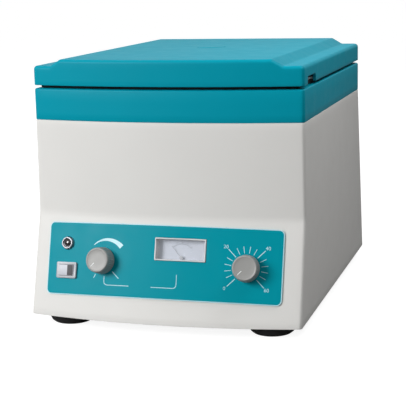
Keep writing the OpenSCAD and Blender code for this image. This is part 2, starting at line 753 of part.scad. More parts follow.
module transformer()
    translate([-20 - board_w, supply_y + 10, floor_top]) {
        window = core_w / 2 - 1.5 * core_leg - core_leg / 2;
        color([0.30, 0.28, 0.26]) difference() {
            cube([core_w, core_d, core_h]);
            for (x = [core_leg, core_w - core_leg - window]) translate([x, -over, core_leg])
                cube([window, core_d + 2 * over, core_h - 2 * core_leg]);
        }
        color([0.60, 0.35, 0.15]) translate([core_leg + winding_gap, -7, core_leg + winding_gap]) difference() {
            cube([core_w - 2 * core_leg - 2 * winding_gap, core_d + 14, core_h - 2 * core_leg - 2 * winding_gap]);
            translate([window - 2 * winding_gap, 7 - winding_gap, -over])
                cube([core_w - 2 * core_leg - 2 * window + 2 * winding_gap, core_d + 2 * winding_gap, core_h]);
        }
    }

// Power inlet: a recess with three blades, and the fuse holder beside it
module power_inlet() color(dark)
    on_back(inlet_at.x, inlet_at.y) {
        difference() {
            union() {
                translate([-inlet_w / 2 - 3, -inlet_h / 2 - 3, 0.1]) cube([inlet_w + 6, inlet_h + 6, 2]);
                translate([-inlet_w / 2, -inlet_h / 2, -20]) cube([inlet_w, inlet_h, 21]);
            }
            translate([-inlet_w / 2 + 2, -inlet_h / 2 + 2, -15]) cube([inlet_w - 4, inlet_h - 4, 20]);
        }
        for (p = [[-7, -2], [0, 2], [7, -2]]) translate([p.x - 1, p.y - 2, -16]) cube([2, 4, 11.5]);
    }

module fuse_holder() color(dark)
    on_back(fuse_at.x, fuse_at.y) {
        translate([0, 0, -26]) cylinder(d = fuse_d, h = 26.5);
        translate([0, 0, 0.1]) cylinder(d = fuse_d + 5, h = 2);
        translate([0, 0, 2]) difference() {
            cylinder(d = fuse_d + 1, h = 2.6);
            translate([-1, -10, 1.4]) cube([2, 20, 4]);
        }
    }

// Lid: a shell with a raised middle, finger notches and a flat liner under it
liner_t = 2;
liner_z = lid_z + 2.3;
notch_y = front_y + 19;
notch_in = 6.5;
disc_r = 17.5;
disc_y = 20;

module plateau(t) {
    half = plateau_w / 2 - t * 0.6;
    foot = plateau_w / 2 + plateau_slope - t * 0.6;
    translate([0, total_d, 0]) rotate([90, 0, 0]) linear_extrude(2 * total_d)
        polygon([[-foot, shoulder_z - 8], [foot, shoulder_z - 8], [foot, shoulder_z - t],
            [half, plateau_z - t], [-half, plateau_z - t], [-foot, shoulder_z - t]]);
}

module lid_shell() color(teal) {
    difference() {
        union() {
            prism(plan(), lid_z, lid_h);
            intersection() {
                prism(plan(), lid_z, lid_h + plateau_rise + over);
                plateau(0);
            }
        }
        prism(plan(lid_wall), lid_z - over, lid_h - lid_wall + over);
        intersection() {
            prism(plan(lid_wall), lid_z, lid_h + plateau_rise);
            plateau(lid_wall);
        }
        at_notches() translate([-notch_in, 0, lid_z - over]) cube([2 * notch_in, notch_l, notch_h + over]);
        // a shallow round groove where the lid carries a plain disc
        translate([0, disc_y, plateau_z - 0.6]) ring(disc_r, disc_r - 1.2, 5);
    }
}

module at_notches() for (s = [-1, 1]) translate([s * body_w / 2, notch_y, 0]) children();

module lid_liner() color(white)
    difference() {
        prism(plan(lid_wall + fit), liner_z, liner_t);
        at_notches() translate([-notch_in, -2, liner_z - over]) cube([2 * notch_in, notch_l + 4, liner_t + 2 * over]);
    }

// Two seals under the liner: a strip round the lid's edge and a ring over the bowl's flange
gasket_in = 7;
gasket_w = 4;
gasket_z = deck_z + seat_gap;
seal_z = gasket_z + flange_t;

module lid_gasket() color(dark)
    difference() {
        prism(plan(gasket_in), gasket_z, liner_z - gasket_z);
        prism(plan(gasket_in + gasket_w), gasket_z - over, liner_z - gasket_z + 2 * over);
    }

module bowl_seal() color([0.45, 0.45, 0.46])
    at_spindle() translate([0, 0, seal_z]) ring(flange_r - 1, flange_r - 6, liner_z - seal_z);

// Hinges: a bracket on the collar's back, an arm on the lid's back, and a pin
knuckle_d = hinge_pin_d + 5;
leaf_t = 2;
hinge_w = 32;
knuckle_w = 12;
hinge_y = back_y + leaf_t + 4;
hinge_z = deck_z + lid_gap / 2;
web_t = 3;

module hinge_leaf(z0, z1)
    translate([-hinge_w / 2, back_y, z0]) cube([hinge_w, leaf_t, z1 - z0]);

// A knuckle is a barrel with a web back to its leaf
module knuckle(x0, w, web_z0, web_z1) {
    translate([x0, hinge_y, hinge_z]) rotate([0, 90, 0]) cylinder(d = knuckle_d, h = w);
    translate([x0, back_y, web_z0]) cube([w, hinge_y - back_y, web_z1 - web_z0]);
}

module hinge_bore(clear) translate([-hinge_w / 2 - over, hinge_y, hinge_z]) rotate([0, 90, 0])
    cylinder(d = hinge_pin_d + 2 * clear, h = hinge_w + 2 * over);

module at_hinges() for (s = [-1, 1]) translate([s * hinge_x, 0, 0]) children();

module hinge_brackets() color(steel)
    at_hinges() difference() {
        union() {
            hinge_leaf(deck_z - 26, deck_z - 1);
            knuckle(-knuckle_w / 2, knuckle_w, hinge_z - web_t - 2, hinge_z - 1);
        }
        hinge_bore(0.02);
    }

module lid_hinge_arms() color(steel)
    at_hinges() difference() {
        union() {
            hinge_leaf(lid_z + 1, lid_z + lid_h - 3);
            for (x0 = [-hinge_w / 2, knuckle_w / 2 + seat_gap])
                knuckle(x0, (hinge_w - knuckle_w) / 2 - seat_gap, hinge_z + 1, hinge_z + web_t + 2);
        }
        hinge_bore(running);
    }

module hinge_pins() color(steel)
    at_hinges() {
        translate([-hinge_w / 2 - 0.5, hinge_y, hinge_z]) rotate([0, 90, 0]) cylinder(d = hinge_pin_d, h = hinge_w + 1);
        for (s = [-1, 1]) translate([s * (hinge_w / 2 + 0.5), hinge_y, hinge_z]) rotate([0, s * 90, 0])
            cylinder(d = hinge_pin_d + 2, h = 1.2);
    }

body_shell();
top_ring();
base_plate();
feet();
foot_screws();
bowl();
shaft_boot();
motor_can();
motor_magnets();
motor_end_bells();
motor_bearings();
motor_brushes();
motor_plate();
motor_dampers();
motor_pillars();
control_panel();
meter_case();
meter_dial();
meter_window();
switch_frame();
pilot_bezel();
pilot_lens();
speed_control();
timer_unit();
control_board();
transformer();
power_inlet();
fuse_holder();
hinge_brackets();
hinge_pins();
lid_shell();
lid_liner();
lid_gasket();
bowl_seal();
lid_hinge_arms();
motor_shaft();
motor_armature();
rotor_plate();
rotor_hub();
rotor_seats();
rotor_nut();
speed_knob();
speed_shaft();
time_knob();
time_shaft();
switch_rocker();
meter_needle();
for (k = [1:4]) {
    slide_clip(k);
    glass_slide(k);
    sample_funnel(k);
}
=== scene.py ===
# %% [markdown]
# # A bench cytocentrifuge, worked out as surfaces
#
# The instrument is a white cabinet with a bowed front, a teal collar and lid, and a leaning
# panel with two knobs, a meter, a switch and a pilot lamp. Under the lid a steel bowl holds a
# rotor with swinging slide clips. The construction model gives the place of every piece. This
# script gives each one its final surface and finish.

# %% Load the construction model
import json

import bmesh
import bpy
import numpy as np
from mathutils import Matrix


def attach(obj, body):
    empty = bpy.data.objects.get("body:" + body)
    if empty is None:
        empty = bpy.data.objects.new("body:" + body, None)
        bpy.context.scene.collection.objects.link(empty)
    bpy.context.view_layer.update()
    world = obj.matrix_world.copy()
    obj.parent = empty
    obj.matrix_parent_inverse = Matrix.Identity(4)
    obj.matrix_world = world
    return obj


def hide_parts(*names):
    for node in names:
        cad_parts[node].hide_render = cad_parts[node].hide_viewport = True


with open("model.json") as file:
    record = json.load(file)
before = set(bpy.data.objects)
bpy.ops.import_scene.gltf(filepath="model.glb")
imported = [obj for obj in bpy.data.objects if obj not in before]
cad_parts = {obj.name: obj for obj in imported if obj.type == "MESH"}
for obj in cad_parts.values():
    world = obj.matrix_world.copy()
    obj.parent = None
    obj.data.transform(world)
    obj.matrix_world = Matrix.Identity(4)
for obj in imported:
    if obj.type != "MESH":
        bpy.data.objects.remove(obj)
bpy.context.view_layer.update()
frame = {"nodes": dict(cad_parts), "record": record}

mm = 0.001
body_of = {n: b for b, nodes in frame["record"]["behaviour"]["bodies"].items() for n in nodes}
slot_of = {part["node"]: part["material_slot"] for part in frame["record"]["subparts"]}

# %% [markdown]
# ## Turning and shifting
#
# Every piece is drawn about its own middle, in millimetres, and then carried to its place. A
# place is a four by four matrix, put together from shifts and turns in the order in which they
# are read.

# %% Matrices for places


def moved(x, y, z):
    """Matrix of a shift by x, y, z."""
    m = np.eye(4)
    m[:3, 3] = (x, y, z)
    return m


def turned(axis, degrees):
    """Matrix of a turn about X, Y or Z, by the right-hand rule."""
    i, j = {"x": (1, 2), "y": (2, 0), "z": (0, 1)}[axis]
    c, s = np.cos(np.radians(degrees)), np.sin(np.radians(degrees))
    m = np.eye(4)
    m[i, i], m[j, j], m[i, j], m[j, i] = c, c, -s, s
    return m


def carried(points, place):
    """Points (..., 3) turned and shifted by the matrix of a place."""
    return np.asarray(points) @ place[:3, :3].T + place[:3, 3]


# %% [markdown]
# ## The camera
#
# The photograph was taken a little from the right and from above, with a long lens. Its place
# was found by fitting the edges of the cabinet, so it is written as a yaw, a pitch and a roll.

# %% Place the camera
camera = bpy.data.objects.new("camera", bpy.data.cameras.new("camera"))
bpy.context.collection.objects.link(camera)
camera.matrix_world = Matrix((moved(0.41743, -1.4359, 0.39702) @ turned("z", 16.563)
                              @ turned("x", 90 - 10.967) @ turned("z", -1.3705)).tolist())
camera.data.sensor_width = 36
camera.data.lens = 108.5
bpy.context.scene.camera = camera
print("camera looks along", [round(-v, 4) for v in camera.matrix_world.col[2][:3]])

# %% [markdown]
# ## Light and floor
#
# The photograph has a plain white background and soft light from the upper left, so the right
# side of the cabinet is darker than its front. A large key lamp gives that. Weaker lamps light
# the top, the upper part of the side and the back, and the world fills in. The white background
# comes from the world and the floor as the camera sees them, not from more light. A mirrored
# ray sees white from above and dark from the sides, which keeps gloss off the upright walls.

# %% Make the world white behind the object
world = bpy.data.worlds.new("studio")
bpy.context.scene.world = world
world.use_nodes = True
pure_white = (1, 1, 1, 1)


def with_values(node, **values):
    """Puts values on a node's inputs. An underscore stands for a space in an input's name."""
    for name, value in values.items():
        node.inputs[name.replace("_", " ")].default_value = value
    return node


def new_node(tree, kind, **values):
    """A new shader node of a kind, with values on its inputs."""
    return with_values(tree.nodes.new("ShaderNode" + kind), **values)


def join(tree, *pairs):
    """Links (node, socket) to (node, socket), for each pair given."""
    for (a, out), (b, into) in pairs:
        tree.links.new(a.outputs[out], b.inputs[into])


def seen_rays(tree, in_gloss=None):
    """1 for rays that show a surface directly or through glass. For mirrored rays it is what the
    node in_gloss gives, or 0 without one, and for all others 0."""
    path = new_node(tree, "LightPath")
    share, first, second = [new_node(tree, "Math") for _ in range(3)]
    share.operation, first.operation, second.operation = "MULTIPLY", "MAXIMUM", "MAXIMUM"
    share.inputs[1].default_value = 0.0
    if in_gloss is not None:
        join(tree, ((in_gloss, 0), (share, 1)))
    join(tree, ((path, "Is Glossy Ray"), (share, 0)), ((path, "Is Camera Ray"), (first, 0)),
         ((share, 0), (first, 1)), ((first, 0), (second, 0)), ((path, "Is Transmission Ray"), (second, 1)))
    return second


ambient = 0.19
tree = world.node_tree
fill = with_values(tree.nodes["Background"], Color=pure_white, Strength=ambient)
white = new_node(tree, "Background", Color=pure_white)
either, sky, height = [new_node(tree, kind) for kind in ("MixShader", "TexCoord", "SeparateXYZ")]
rise = new_node(tree, "MapRange", From_Min=0.0, From_Max=0.7, To_Min=0.03, To_Max=0.95)
join(tree, ((sky, "Generated"), (height, 0)), ((height, "Z"), (rise, "Value")),
     ((seen_rays(tree, rise), 0), (either, "Fac")), ((fill, 0), (either, 1)),
     ((white, 0), (either, 2)), ((either, 0), (tree.nodes["World Output"], "Surface")))
bpy.context.scene.view_settings.view_transform = "Standard"
print("world fills with", ambient, "and mirrors white from above only")

# %% Set up the lamps and the floor


def lamp(name, at, aim, size, power):
    """A square lamp at a place, turned towards another."""
    light = bpy.data.lights.new(name, "AREA")
    light.size, light.energy = size, power
    ob = bpy.data.objects.new(name, light)
    bpy.context.collection.objects.link(ob)
    way = np.subtract(aim, at)
    yaw, pitch = np.degrees([np.arctan2(way[0], way[1]), np.arctan2(way[2], np.hypot(way[0], way[1]))])
    ob.matrix_world = Matrix((moved(*at) @ turned("z", -yaw) @ turned("x", 90 + pitch)).tolist())
    return ob


lamp("key lamp", (-1.75, -2.35, 1.4), (0, 0, 0.15), 1.3, 90)
lamp("top lamp", (-0.2, 0.3, 2.5), (0, 0, 0.2), 1.4, 8).visible_glossy = False
lamp("side lamp", (0.46, -0.1, 0.82), (0.157, 0, 0.2), 0.4, 3.2)
lamp("back lamp", (-0.9, 2.2, 1.3), (0, 0.1, 0.15), 1.0, 22).visible_glossy = False
floor_mesh = bpy.data.meshes.new("floor")
floor_mesh.from_pydata([(-40, -40, 0), (40, -40, 0), (40, 40, 0), (-40, 40, 0)], [], [(0, 1, 2, 3)])
floor = bpy.data.objects.new("floor", floor_mesh)
bpy.context.collection.objects.link(floor)
paper = bpy.data.materials.new("floor paper")
paper.use_nodes = True
tree = paper.node_tree
matt = with_values(tree.nodes["Principled BSDF"], Base_Color=(0.22, 0.22, 0.22, 1), Roughness=0.9,
                   Emission_Color=pure_white)
glow = new_node(tree, "MapRange", To_Max=0.90)
join(tree, ((seen_rays(tree), 0), (glow, "Value")), ((glow, 0), (matt, "Emission Strength")))
floor_mesh.materials.append(paper)
print("four lamps and a floor")

# %% [markdown]
# ## Finishes
#
# Enamel, moulded plastic, rubber and metal differ in three things: how the colour drifts, how
# the gloss varies, and how fine the grain of the surface is. One recipe covers them all. It
# reads object coordinates, so a pattern stays on its piece when the piece moves.

# %% A recipe for finishes
finishes = {}


def linear(red, green, blue):
    """Scene-linear colour of an 8-bit screen colour: ((c + 0.055) / 1.055) to the power 2.4."""
    c = np.array([red, green, blue]) / 255
    return tuple(np.where(c > 0.04045, ((c + 0.055) / 1.055) ** 2.4, c / 12.92)) + (1.0,)


def noise(tree, source, scale, detail=3.0):
    """A noise of a given scale per metre, read at the points that source gives."""
    node = new_node(tree, "TexNoise", Scale=scale, Detail=detail)
    join(tree, ((source, 0), (node, "Vector")))
    return node


def span(tree, source, low, high):
    """Spreads a noise's usual values, 0.3 to 0.7, to low..high."""
    node = new_node(tree, "MapRange", From_Min=0.3, From_Max=0.7, To_Min=low, To_Max=high)
    join(tree, ((source, "Fac"), (node, "Value")))
    return node


def finish(slot, colour, rough, metal, grain, depth, drift, gloss_drift=0.06, stretch=(1, 1, 1), rings=0, **sockets):
    """A material: colour and gloss drift slowly, and a fine grain or turned rings raise the surface.

    grain is the noise's scale per metre, depth the height of the bump in millimetres, drift the
    share by which the colour darkens in patches, rings the number of turned grooves per metre.
    """
    material = bpy.data.materials.new(slot)
    material.use_nodes = True
    tree = material.node_tree
    shader = with_values(tree.nodes["Principled BSDF"], Metallic=metal, **sockets)
    where = new_node(tree, "TexCoord")
    mapping = new_node(tree, "Mapping", Scale=stretch)
    mix = new_node(tree, "Mix")
    mix.data_type = "RGBA"
    colour = linear(*colour)
    with_values(mix, A=colour, B=tuple(c * (1 - 2.5 * drift) for c in colour[:3]) + (1.0,))
    amount = span(tree, noise(tree, mapping, 14, 4), 0.0, 0.6)
    gloss = span(tree, noise(tree, mapping, 55), max(rough - gloss_drift, 0.02), rough + gloss_drift)
    bump = new_node(tree, "Bump", Distance=depth * mm, Strength=1.0)
    join(tree, ((where, "Object"), (mapping, "Vector")), ((amount, 0), (mix, "Factor")),
         ((mix, "Result"), (shader, "Base Color")), ((gloss, 0), (shader, "Roughness")),
         ((bump, 0), (shader, "Normal")))
    if rings:
        centre = new_node(tree, "Mapping", Location=(0, -8 * mm, 0))    # the spindle is 8 mm back
        wave = new_node(tree, "TexWave", Scale=rings, Distortion=0.6)
        wave.wave_type, wave.rings_direction = "RINGS", "Z"
        join(tree, ((where, "Object"), (centre, "Vector")), ((centre, 0), (wave, "Vector")),
             ((wave, "Fac"), (bump, "Height")))
    else:
        join(tree, ((noise(tree, mapping, grain, 4), "Fac"), (bump, "Height")))
    finishes[slot] = material


# %% [markdown]
# The cabinet is steel with sprayed enamel, which dries with a faint orange peel. The collar and
# lid are moulded with a fine leather grain. The panel is a smooth printed sheet. Knobs are
# satin plastic, the feet are matt rubber, and the metals are brushed, turned, plated or cast.

# %% Finishes of this instrument
# Screen colour, roughness, metal, grain per metre, bump in millimetres and drift of each.
looks = {
    "white_enamel": ((221, 220, 217), 0.38, 0, 420, 0.03, 0.012),
    "teal_plastic": ((0, 147, 168), 0.40, 0, 1500, 0.05, 0.02),
    "panel_teal": ((0, 144, 160), 0.34, 0, 2600, 0.015, 0.015),
    "white_plastic": ((228, 228, 224), 0.40, 0, 1300, 0.03, 0.02),
    "grey_plastic": ((150, 150, 148), 0.42, 0, 1700, 0.04, 0.03),
    "light_plastic": ((205, 207, 208), 0.36, 0, 1500, 0.03, 0.02),
    "black_plastic": ((34, 34, 36), 0.45, 0, 1700, 0.04, 0.05),
    "black_rubber": ((26, 26, 27), 0.78, 0, 1100, 0.10, 0.10),
    "grey_rubber": ((112, 113, 114), 0.70, 0, 1100, 0.08, 0.06),
    "stainless": ((196, 198, 200), 0.26, 1, 900, 0.010, 0.03),
    "plated_steel": ((178, 180, 184), 0.34, 1, 240, 0.02, 0.06),
    "bright_steel": ((214, 215, 217), 0.18, 1, 800, 0.008, 0.03),
    "chrome_ring": ((128, 128, 132), 0.38, 1, 700, 0.004, 0.02),
    "anodised": ((188, 190, 194), 0.32, 1, 900, 0.012, 0.03),
    "cast_alloy": ((160, 162, 165), 0.48, 1, 520, 0.12, 0.08),
    "motor_paint": ((58, 60, 64), 0.50, 0, 500, 0.05, 0.06),
    "ferrite": ((66, 66, 68), 0.70, 0, 900, 0.08, 0.08),
    "copper_winding": ((196, 116, 62), 0.30, 1, 300, 0.25, 0.12),
    "carbon": ((40, 40, 42), 0.60, 0, 1400, 0.06, 0.08),
    "iron_core": ((96, 92, 90), 0.52, 1, 260, 0.18, 0.14),
    "board_green": ((24, 92, 58), 0.38, 0, 420, 0.04, 0.14),
    "phenolic": ((112, 78, 52), 0.55, 0, 700, 0.05, 0.12),
    "dial_card": ((196, 202, 214), 0.62, 0, 2200, 0.02, 0.02),
    "smoked_lens": ((24, 9, 12), 0.10, 0, 900, 0.004, 0.05),
    "funnel_plastic": ((226, 230, 228), 0.36, 0, 1200, 0.02, 0.02),
    "filter_card": ((238, 236, 228), 0.85, 0, 2400, 0.06, 0.03),
    "print_white": ((236, 240, 240), 0.45, 0, 2600, 0.01, 0.01),
    # The rocker's dark grey is painted shade for its pressed-in half, not a colour of its own.
    "painted_rocker_shade": ((88, 88, 91), 0.60, 0, 1700, 0.04, 0.03),
    "rocker_light": ((198, 201, 209), 0.45, 0, 1700, 0.03, 0.02),
    "frame_grey": ((168, 171, 177), 0.38, 0, 1700, 0.03, 0.02),
    # This pale colour is the print, and round the panel's edge it is also a painted highlight.
    "pale_print_and_edge_highlight": ((184, 226, 234), 0.45, 0, 2600, 0.01, 0.01),
    "print_grey": ((118, 122, 132), 0.55, 0, 2600, 0.01, 0.02),
    "clear_glass": ((232, 242, 242), 0.04, 0, 600, 0.002, 0.01),
    "clear_window": ((236, 240, 246), 0.14, 0, 600, 0.0002, 0.01),
    "frosted_glass": ((238, 240, 240), 0.62, 0, 2600, 0.03, 0.03)}
special = {
    "white_enamel": dict(Specular_IOR_Level=0.14), "panel_teal": dict(Specular_IOR_Level=0.06),
    "teal_plastic": dict(gloss_drift=0.03, Specular_IOR_Level=0.07),
    "painted_rocker_shade": dict(Specular_IOR_Level=0.15), "rocker_light": dict(Specular_IOR_Level=0.3),
    "stainless": dict(rings=700), "anodised": dict(rings=900), "chrome_ring": dict(gloss_drift=0.03),
    "bright_steel": dict(stretch=(1, 1, 9)), "copper_winding": dict(stretch=(1, 1, 30)),
    "iron_core": dict(stretch=(1, 30, 1)), "funnel_plastic": dict(Subsurface_Weight=0.15),
    "smoked_lens": dict(gloss_drift=0.03, Coat_Weight=0.6),
    "clear_glass": dict(gloss_drift=0.02, Alpha=0.30), "clear_window": dict(gloss_drift=0.02, Alpha=0.08)}
for slot, values in looks.items():
    finish(slot, *values, **special.get(slot, {}))
for node, ob in frame["nodes"].items():
    ob.data.materials.clear()
    ob.data.materials.append(finishes[slot_of[node]])
print(len(finishes), "finishes")

# %% [markdown]
# ## From grids of numbers to pieces
#
# A surface here is a grid of points, worked out all at once by a formula of two parameters. The
# helpers below put faces over such a grid: round a closed tube, over an open patch, or over
# both sides of a plate and its edge. A piece is one or more of those, merged where they meet,
# with its faces turned outwards.

# %% Faces over grids


def quads(index):
    """Four-cornered faces over a table of point numbers."""
    return np.stack([index[:-1, :-1], index[:-1, 1:], index[1:, 1:], index[1:, :-1]], -1).reshape(-1, 4)


def tube(grid, ring=False):
    """A grid (rows, columns, 3) whose columns close round. With ring its rows close too, else its ends are capped."""
    rows, cols = grid.shape[:2]
    index = np.arange(rows * cols).reshape(rows, cols)
    index = np.concatenate([index, index[:, :1]], 1)
    if ring:
        return grid.reshape(-1, 3), [quads(np.concatenate([index, index[:1]], 0))]
    return grid.reshape(-1, 3), [quads(index), index[:1, :-1], index[-1:, -2::-1]]


def patch(grid):
    """An open grid, as one side of something that other grids close."""
    return grid.reshape(-1, 3), [quads(np.arange(grid.shape[0] * grid.shape[1]).reshape(grid.shape[:2]))]


def slab(top, bottom):
    """Two open grids of the same size and the strip between their edges."""
    rows, cols = top.shape[:2]
    index = np.arange(rows * cols).reshape(rows, cols)
    rim = np.concatenate([index[0, :-1], index[:-1, -1], index[-1, :0:-1], index[:0:-1, 0]])
    strip = np.stack([rim, rim + rows * cols, np.roll(rim, -1) + rows * cols, np.roll(rim, -1)], -1)
    return (np.concatenate([top.reshape(-1, 3), bottom.reshape(-1, 3)]),
            [quads(index), quads(index)[:, ::-1] + rows * cols, strip])


def placed(part, place):
    """A part carried to a place."""
    return carried(part[0], place), part[1]


def lifted(flat, z):
    """A grid of flat points (rows, columns, 2) with one height for all, or one for each row."""
    z = np.broadcast_to(np.reshape(z, (-1, 1, 1)), flat.shape[:2] + (1,))
    return np.concatenate([flat, z], -1)


# %% Pieces from parts


def sealed(mesh, merge=0.004):
    """Merges points closer than a few thousandths of a millimetre and turns the faces outwards."""
    bm = bmesh.new()
    bm.from_mesh(mesh)
    bmesh.ops.remove_doubles(bm, verts=bm.verts, dist=merge * mm)
    bmesh.ops.recalc_face_normals(bm, faces=bm.faces)
    bm.to_mesh(mesh)
    bm.free()


def shaded(ob, edge):
    """Smooth over the faces, and sharp where two of them meet at more than edge degrees."""
    ob.data.shade_smooth()
    ob.data.set_sharp_from_angle(angle=np.radians(edge))


def raw(name, parts):
    """An object with one mesh made of parts, in millimetres, and nothing else."""
    shift = np.cumsum([0] + [len(points) for points, _ in parts])
    faces = [f for s, (_, blocks) in zip(shift, parts) for b in blocks for f in (np.asarray(b) + s).tolist()]
    mesh = bpy.data.meshes.new(name)
    mesh.from_pydata((np.concatenate([points for points, _ in parts]) * mm).tolist(), [], faces)
    sealed(mesh)
    ob = bpy.data.objects.new(name, mesh)
    bpy.context.collection.objects.link(ob)
    return ob


def applied(ob):
    """Bakes an object's modifiers into its mesh."""
    mesh = bpy.data.meshes.new_from_object(ob.evaluated_get(bpy.context.evaluated_depsgraph_get()))
    ob.modifiers.clear()
    ob.data = mesh


def cut(ob, parts):
    """Takes the space of closed parts out of an object."""
    cutter = raw("cutter", parts)
    tool = ob.modifiers.new("cut", "BOOLEAN")
    tool.object, tool.operation, tool.solver = cutter, "DIFFERENCE", "EXACT"
    applied(ob)
    bpy.data.objects.remove(cutter)


def bevelled(ob, width, segments=3):
    """Rounds the edges that are sharper than 35 degrees."""
    tool = ob.modifiers.new("bevel", "BEVEL")
    tool.width, tool.segments, tool.limit_method = width * mm, segments, "ANGLE"
    tool.angle_limit = np.radians(35)
    applied(ob)


def piece(name, parts, slot, body, *nodes, holes=(), bevel=0.0, edge=32):
    """A finished piece: parts, less holes, with rounded edges, on a body, in place of CAD nodes."""
    ob = raw(name, parts)
    if holes:
        cut(ob, holes)
    if bevel:
        bevelled(ob, bevel)
    ob.data.materials.clear()
    ob.data.materials.append(finishes[slot])
    shaded(ob, edge)
    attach(ob, body)
    if nodes:
        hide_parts(*nodes)
    print(name, len(ob.data.polygons), "faces")
    return ob


# %% [markdown]
# ## Profiles
#
# Most pieces are a profile carried along something: turned about an axis, or carried round a
# rounded rectangle. Real parts have no perfectly sharp corners, so a profile is first drawn
# with straight sides and then each corner is rounded.

# %% Rounded profiles, turned pieces and frames


def rounded(corners, radii, steps=5, closed=True):
    """A closed outline with its corners rounded: each corner becomes a curve from a to b that bends
    towards the corner p, (1-s)^2 a + 2 s (1-s) p + s^2 b, with a and b on its two sides."""
    p = np.asarray(corners, float)
    before, after = np.roll(p, 1, 0) - p, np.roll(p, -1, 0) - p
    lb, la = np.linalg.norm(before, axis=1, keepdims=True), np.linalg.norm(after, axis=1, keepdims=True)
    ub, ua = before / lb, after / la
    half = np.arccos(np.clip((ub * ua).sum(1, keepdims=True), -0.9999, 0.9999)) / 2
    r = np.broadcast_to(np.asarray(radii, float), len(p))[:, None]
    reach = np.minimum(r / np.tan(half), 0.49 * np.minimum(lb, la))
    if not closed:
        reach[[0, -1]] = 0
    s = np.linspace(0, 1, steps)[None, :, None]
    a, b, c = (p + ub * reach)[:, None], (p + ua * reach)[:, None], p[:, None]
    return ((1 - s) ** 2 * a + 2 * s * (1 - s) * c + s ** 2 * b).reshape(-1, p.shape[1])


def around(r, z, centre=(0, 0)):
    """Points (r cos a, r sin a, z) on a full turn about an upright axis. r has a column for each
    step of the turn, and z a height for each row."""
    a = np.linspace(0, 2 * np.pi, r.shape[1], endpoint=False)
    return lifted(np.stack([r * np.cos(a) + centre[0], r * np.sin(a) + centre[1]], -1), z)


def turned_part(profile, count=64, ring=True, centre=(0, 0)):
    """A profile (r, z) turned about an upright axis."""
    r, z = np.asarray(profile, float).T
    return tube(around(np.broadcast_to(r[:, None], (len(r), count)), z, centre), ring)


def rectangle(w, h, r, steps=6):
    """Points round a rounded rectangle. w, h and r may be columns of numbers, one for each row."""
    w, h, r = [np.atleast_1d(np.asarray(v, float))[:, None] for v in np.broadcast_arrays(w, h, r)]
    r = np.clip(r, 0.01, np.minimum(w, h) / 2)
    a = np.concatenate([np.linspace(0, np.pi / 2, steps) + k * np.pi / 2 for k in range(4)])
    sx, sy = np.repeat([1, -1, -1, 1], steps), np.repeat([1, 1, -1, -1], steps)
    return np.stack([sx * (w / 2 - r) + r * np.cos(a), sy * (h / 2 - r) + r * np.sin(a)], -1)


def frame_part(w, h, r, profile, ring=False):
    """A profile (inset, z) carried round a rounded rectangle."""
    inset, z = np.asarray(profile, float).T
    return tube(lifted(rectangle(w - 2 * inset, h - 2 * inset, r - inset), z), ring)


def block(w, h, d, r, soft=0.4, z=0.0):
    """A box w by h with corners of radius r, from z to z + d, with its edges softened."""
    return frame_part(w, h, r, [(soft, z), (soft * 0.3, z + soft * 0.3), (0, z + soft),
                                (0, z + d - soft), (soft * 0.3, z + d - soft * 0.3), (soft, z + d)])


def disc(r, z0, z1, soft=0.3, count=48):
    """A solid turned disc with softened edges."""
    return turned_part([(0, z0), (r - soft, z0), (r, z0 + soft), (r, z1 - soft), (r - soft, z1), (0, z1)],
                       count, ring=False)


# %% [markdown]
# Plates and brackets that are plain in the construction model only lack the small radius that
# pressing, milling or moulding leaves. A copy is taken, its triangles are joined into flat
# faces, and its sharp edges are rounded.

# %% Round the edges of a copy


def soften(node, width, slot=None):
    """A copy of a node's mesh with its sharp edges rounded, in place of the node."""
    ob = bpy.data.objects.new(node + "_finished", frame["nodes"][node].data.copy())
    bpy.context.collection.objects.link(ob)
    bm = bmesh.new()
    bm.from_mesh(ob.data)
    bmesh.ops.remove_doubles(bm, verts=bm.verts, dist=0.002 * mm)
    bmesh.ops.dissolve_limit(bm, angle_limit=np.radians(0.6), verts=bm.verts, edges=bm.edges)
    bm.to_mesh(ob.data)
    bm.free()
    bevelled(ob, width, segments=2)
    ob.data.materials.clear()
    ob.data.materials.append(finishes[slot or slot_of[node]])
    shaded(ob, 40)
    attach(ob, body_of[node])
    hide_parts(node)
    return ob


# %% [markdown]
# ## The cabinet's outline
#
# From above, the cabinet is a rectangle whose front is bowed to a long arc. The collar, the
# lid, the seal and the wall's inside all follow it, each a little smaller. So one function
# gives the outline for any inset, with the front, back and sides moved out where the lower
# cabinet spreads. Its points always come in the same order, which lets any two be joined.

# %% Sizes of the outline, in millimetres
base_z, waist_z, collar_z, deck_z = 12.0, 125.5, 231.0, 266.3
lid_z, shoulder_z, plateau_z = 269.7, 291.4, 298.8
ramp_x, ramp_run = 133.0, 12.5      # the lid's slope ends this far out, and is this wide
body_w, total_d, bow, front_kick, rear_kick, flare = 310.0, 433.2, 16.2, 32.0, 28.0, 1.8
front_corner, rear_corner, wall = 5.0, 8.0, 2.5
bow_r = (body_w ** 2 / 4 + bow ** 2) / (2 * bow)
back_y = total_d / 2 - rear_kick
bow_centre_y = -total_d / 2 + front_kick + bow_r
spindle_y = 8.0
notch_y0, notch_y1, notch_h, notch_r = -149.4, -105.4, 8.5, 3.0

# Marks across and along the outline lie closer where the lid slopes and at the notch's corners.
# Between the fixed values they stay, and the others are stretched to the outline's corners.
fixed_x, fixed_y = (-140, 140), (-152, 170)
slope = np.array([117.5, 119, 119.8, 120.5, 121.2, 122, 124, 127, 130, 131.6, 132.4, 133, 133.6, 134.4, 136.5])
ends = np.array([141, 144, 147, 150])
across = np.concatenate([-ends[::-1], -slope[::-1], np.linspace(-115, 115, 33), slope, ends])
bend = np.array([-0.06, 0.0, 0.25, 0.7, 1.3, 2.1, 3.0])
along = np.concatenate([[-165, -162, -158, -154], notch_y0 + bend, np.linspace(-140, -115, 5),
                        notch_y1 - bend[::-1], np.linspace(-98, 168, 24), [172, 175, 178]])
print("outline has", 2 * len(across) + 2 * len(along) + 28, "points")

# %% The outline at any inset


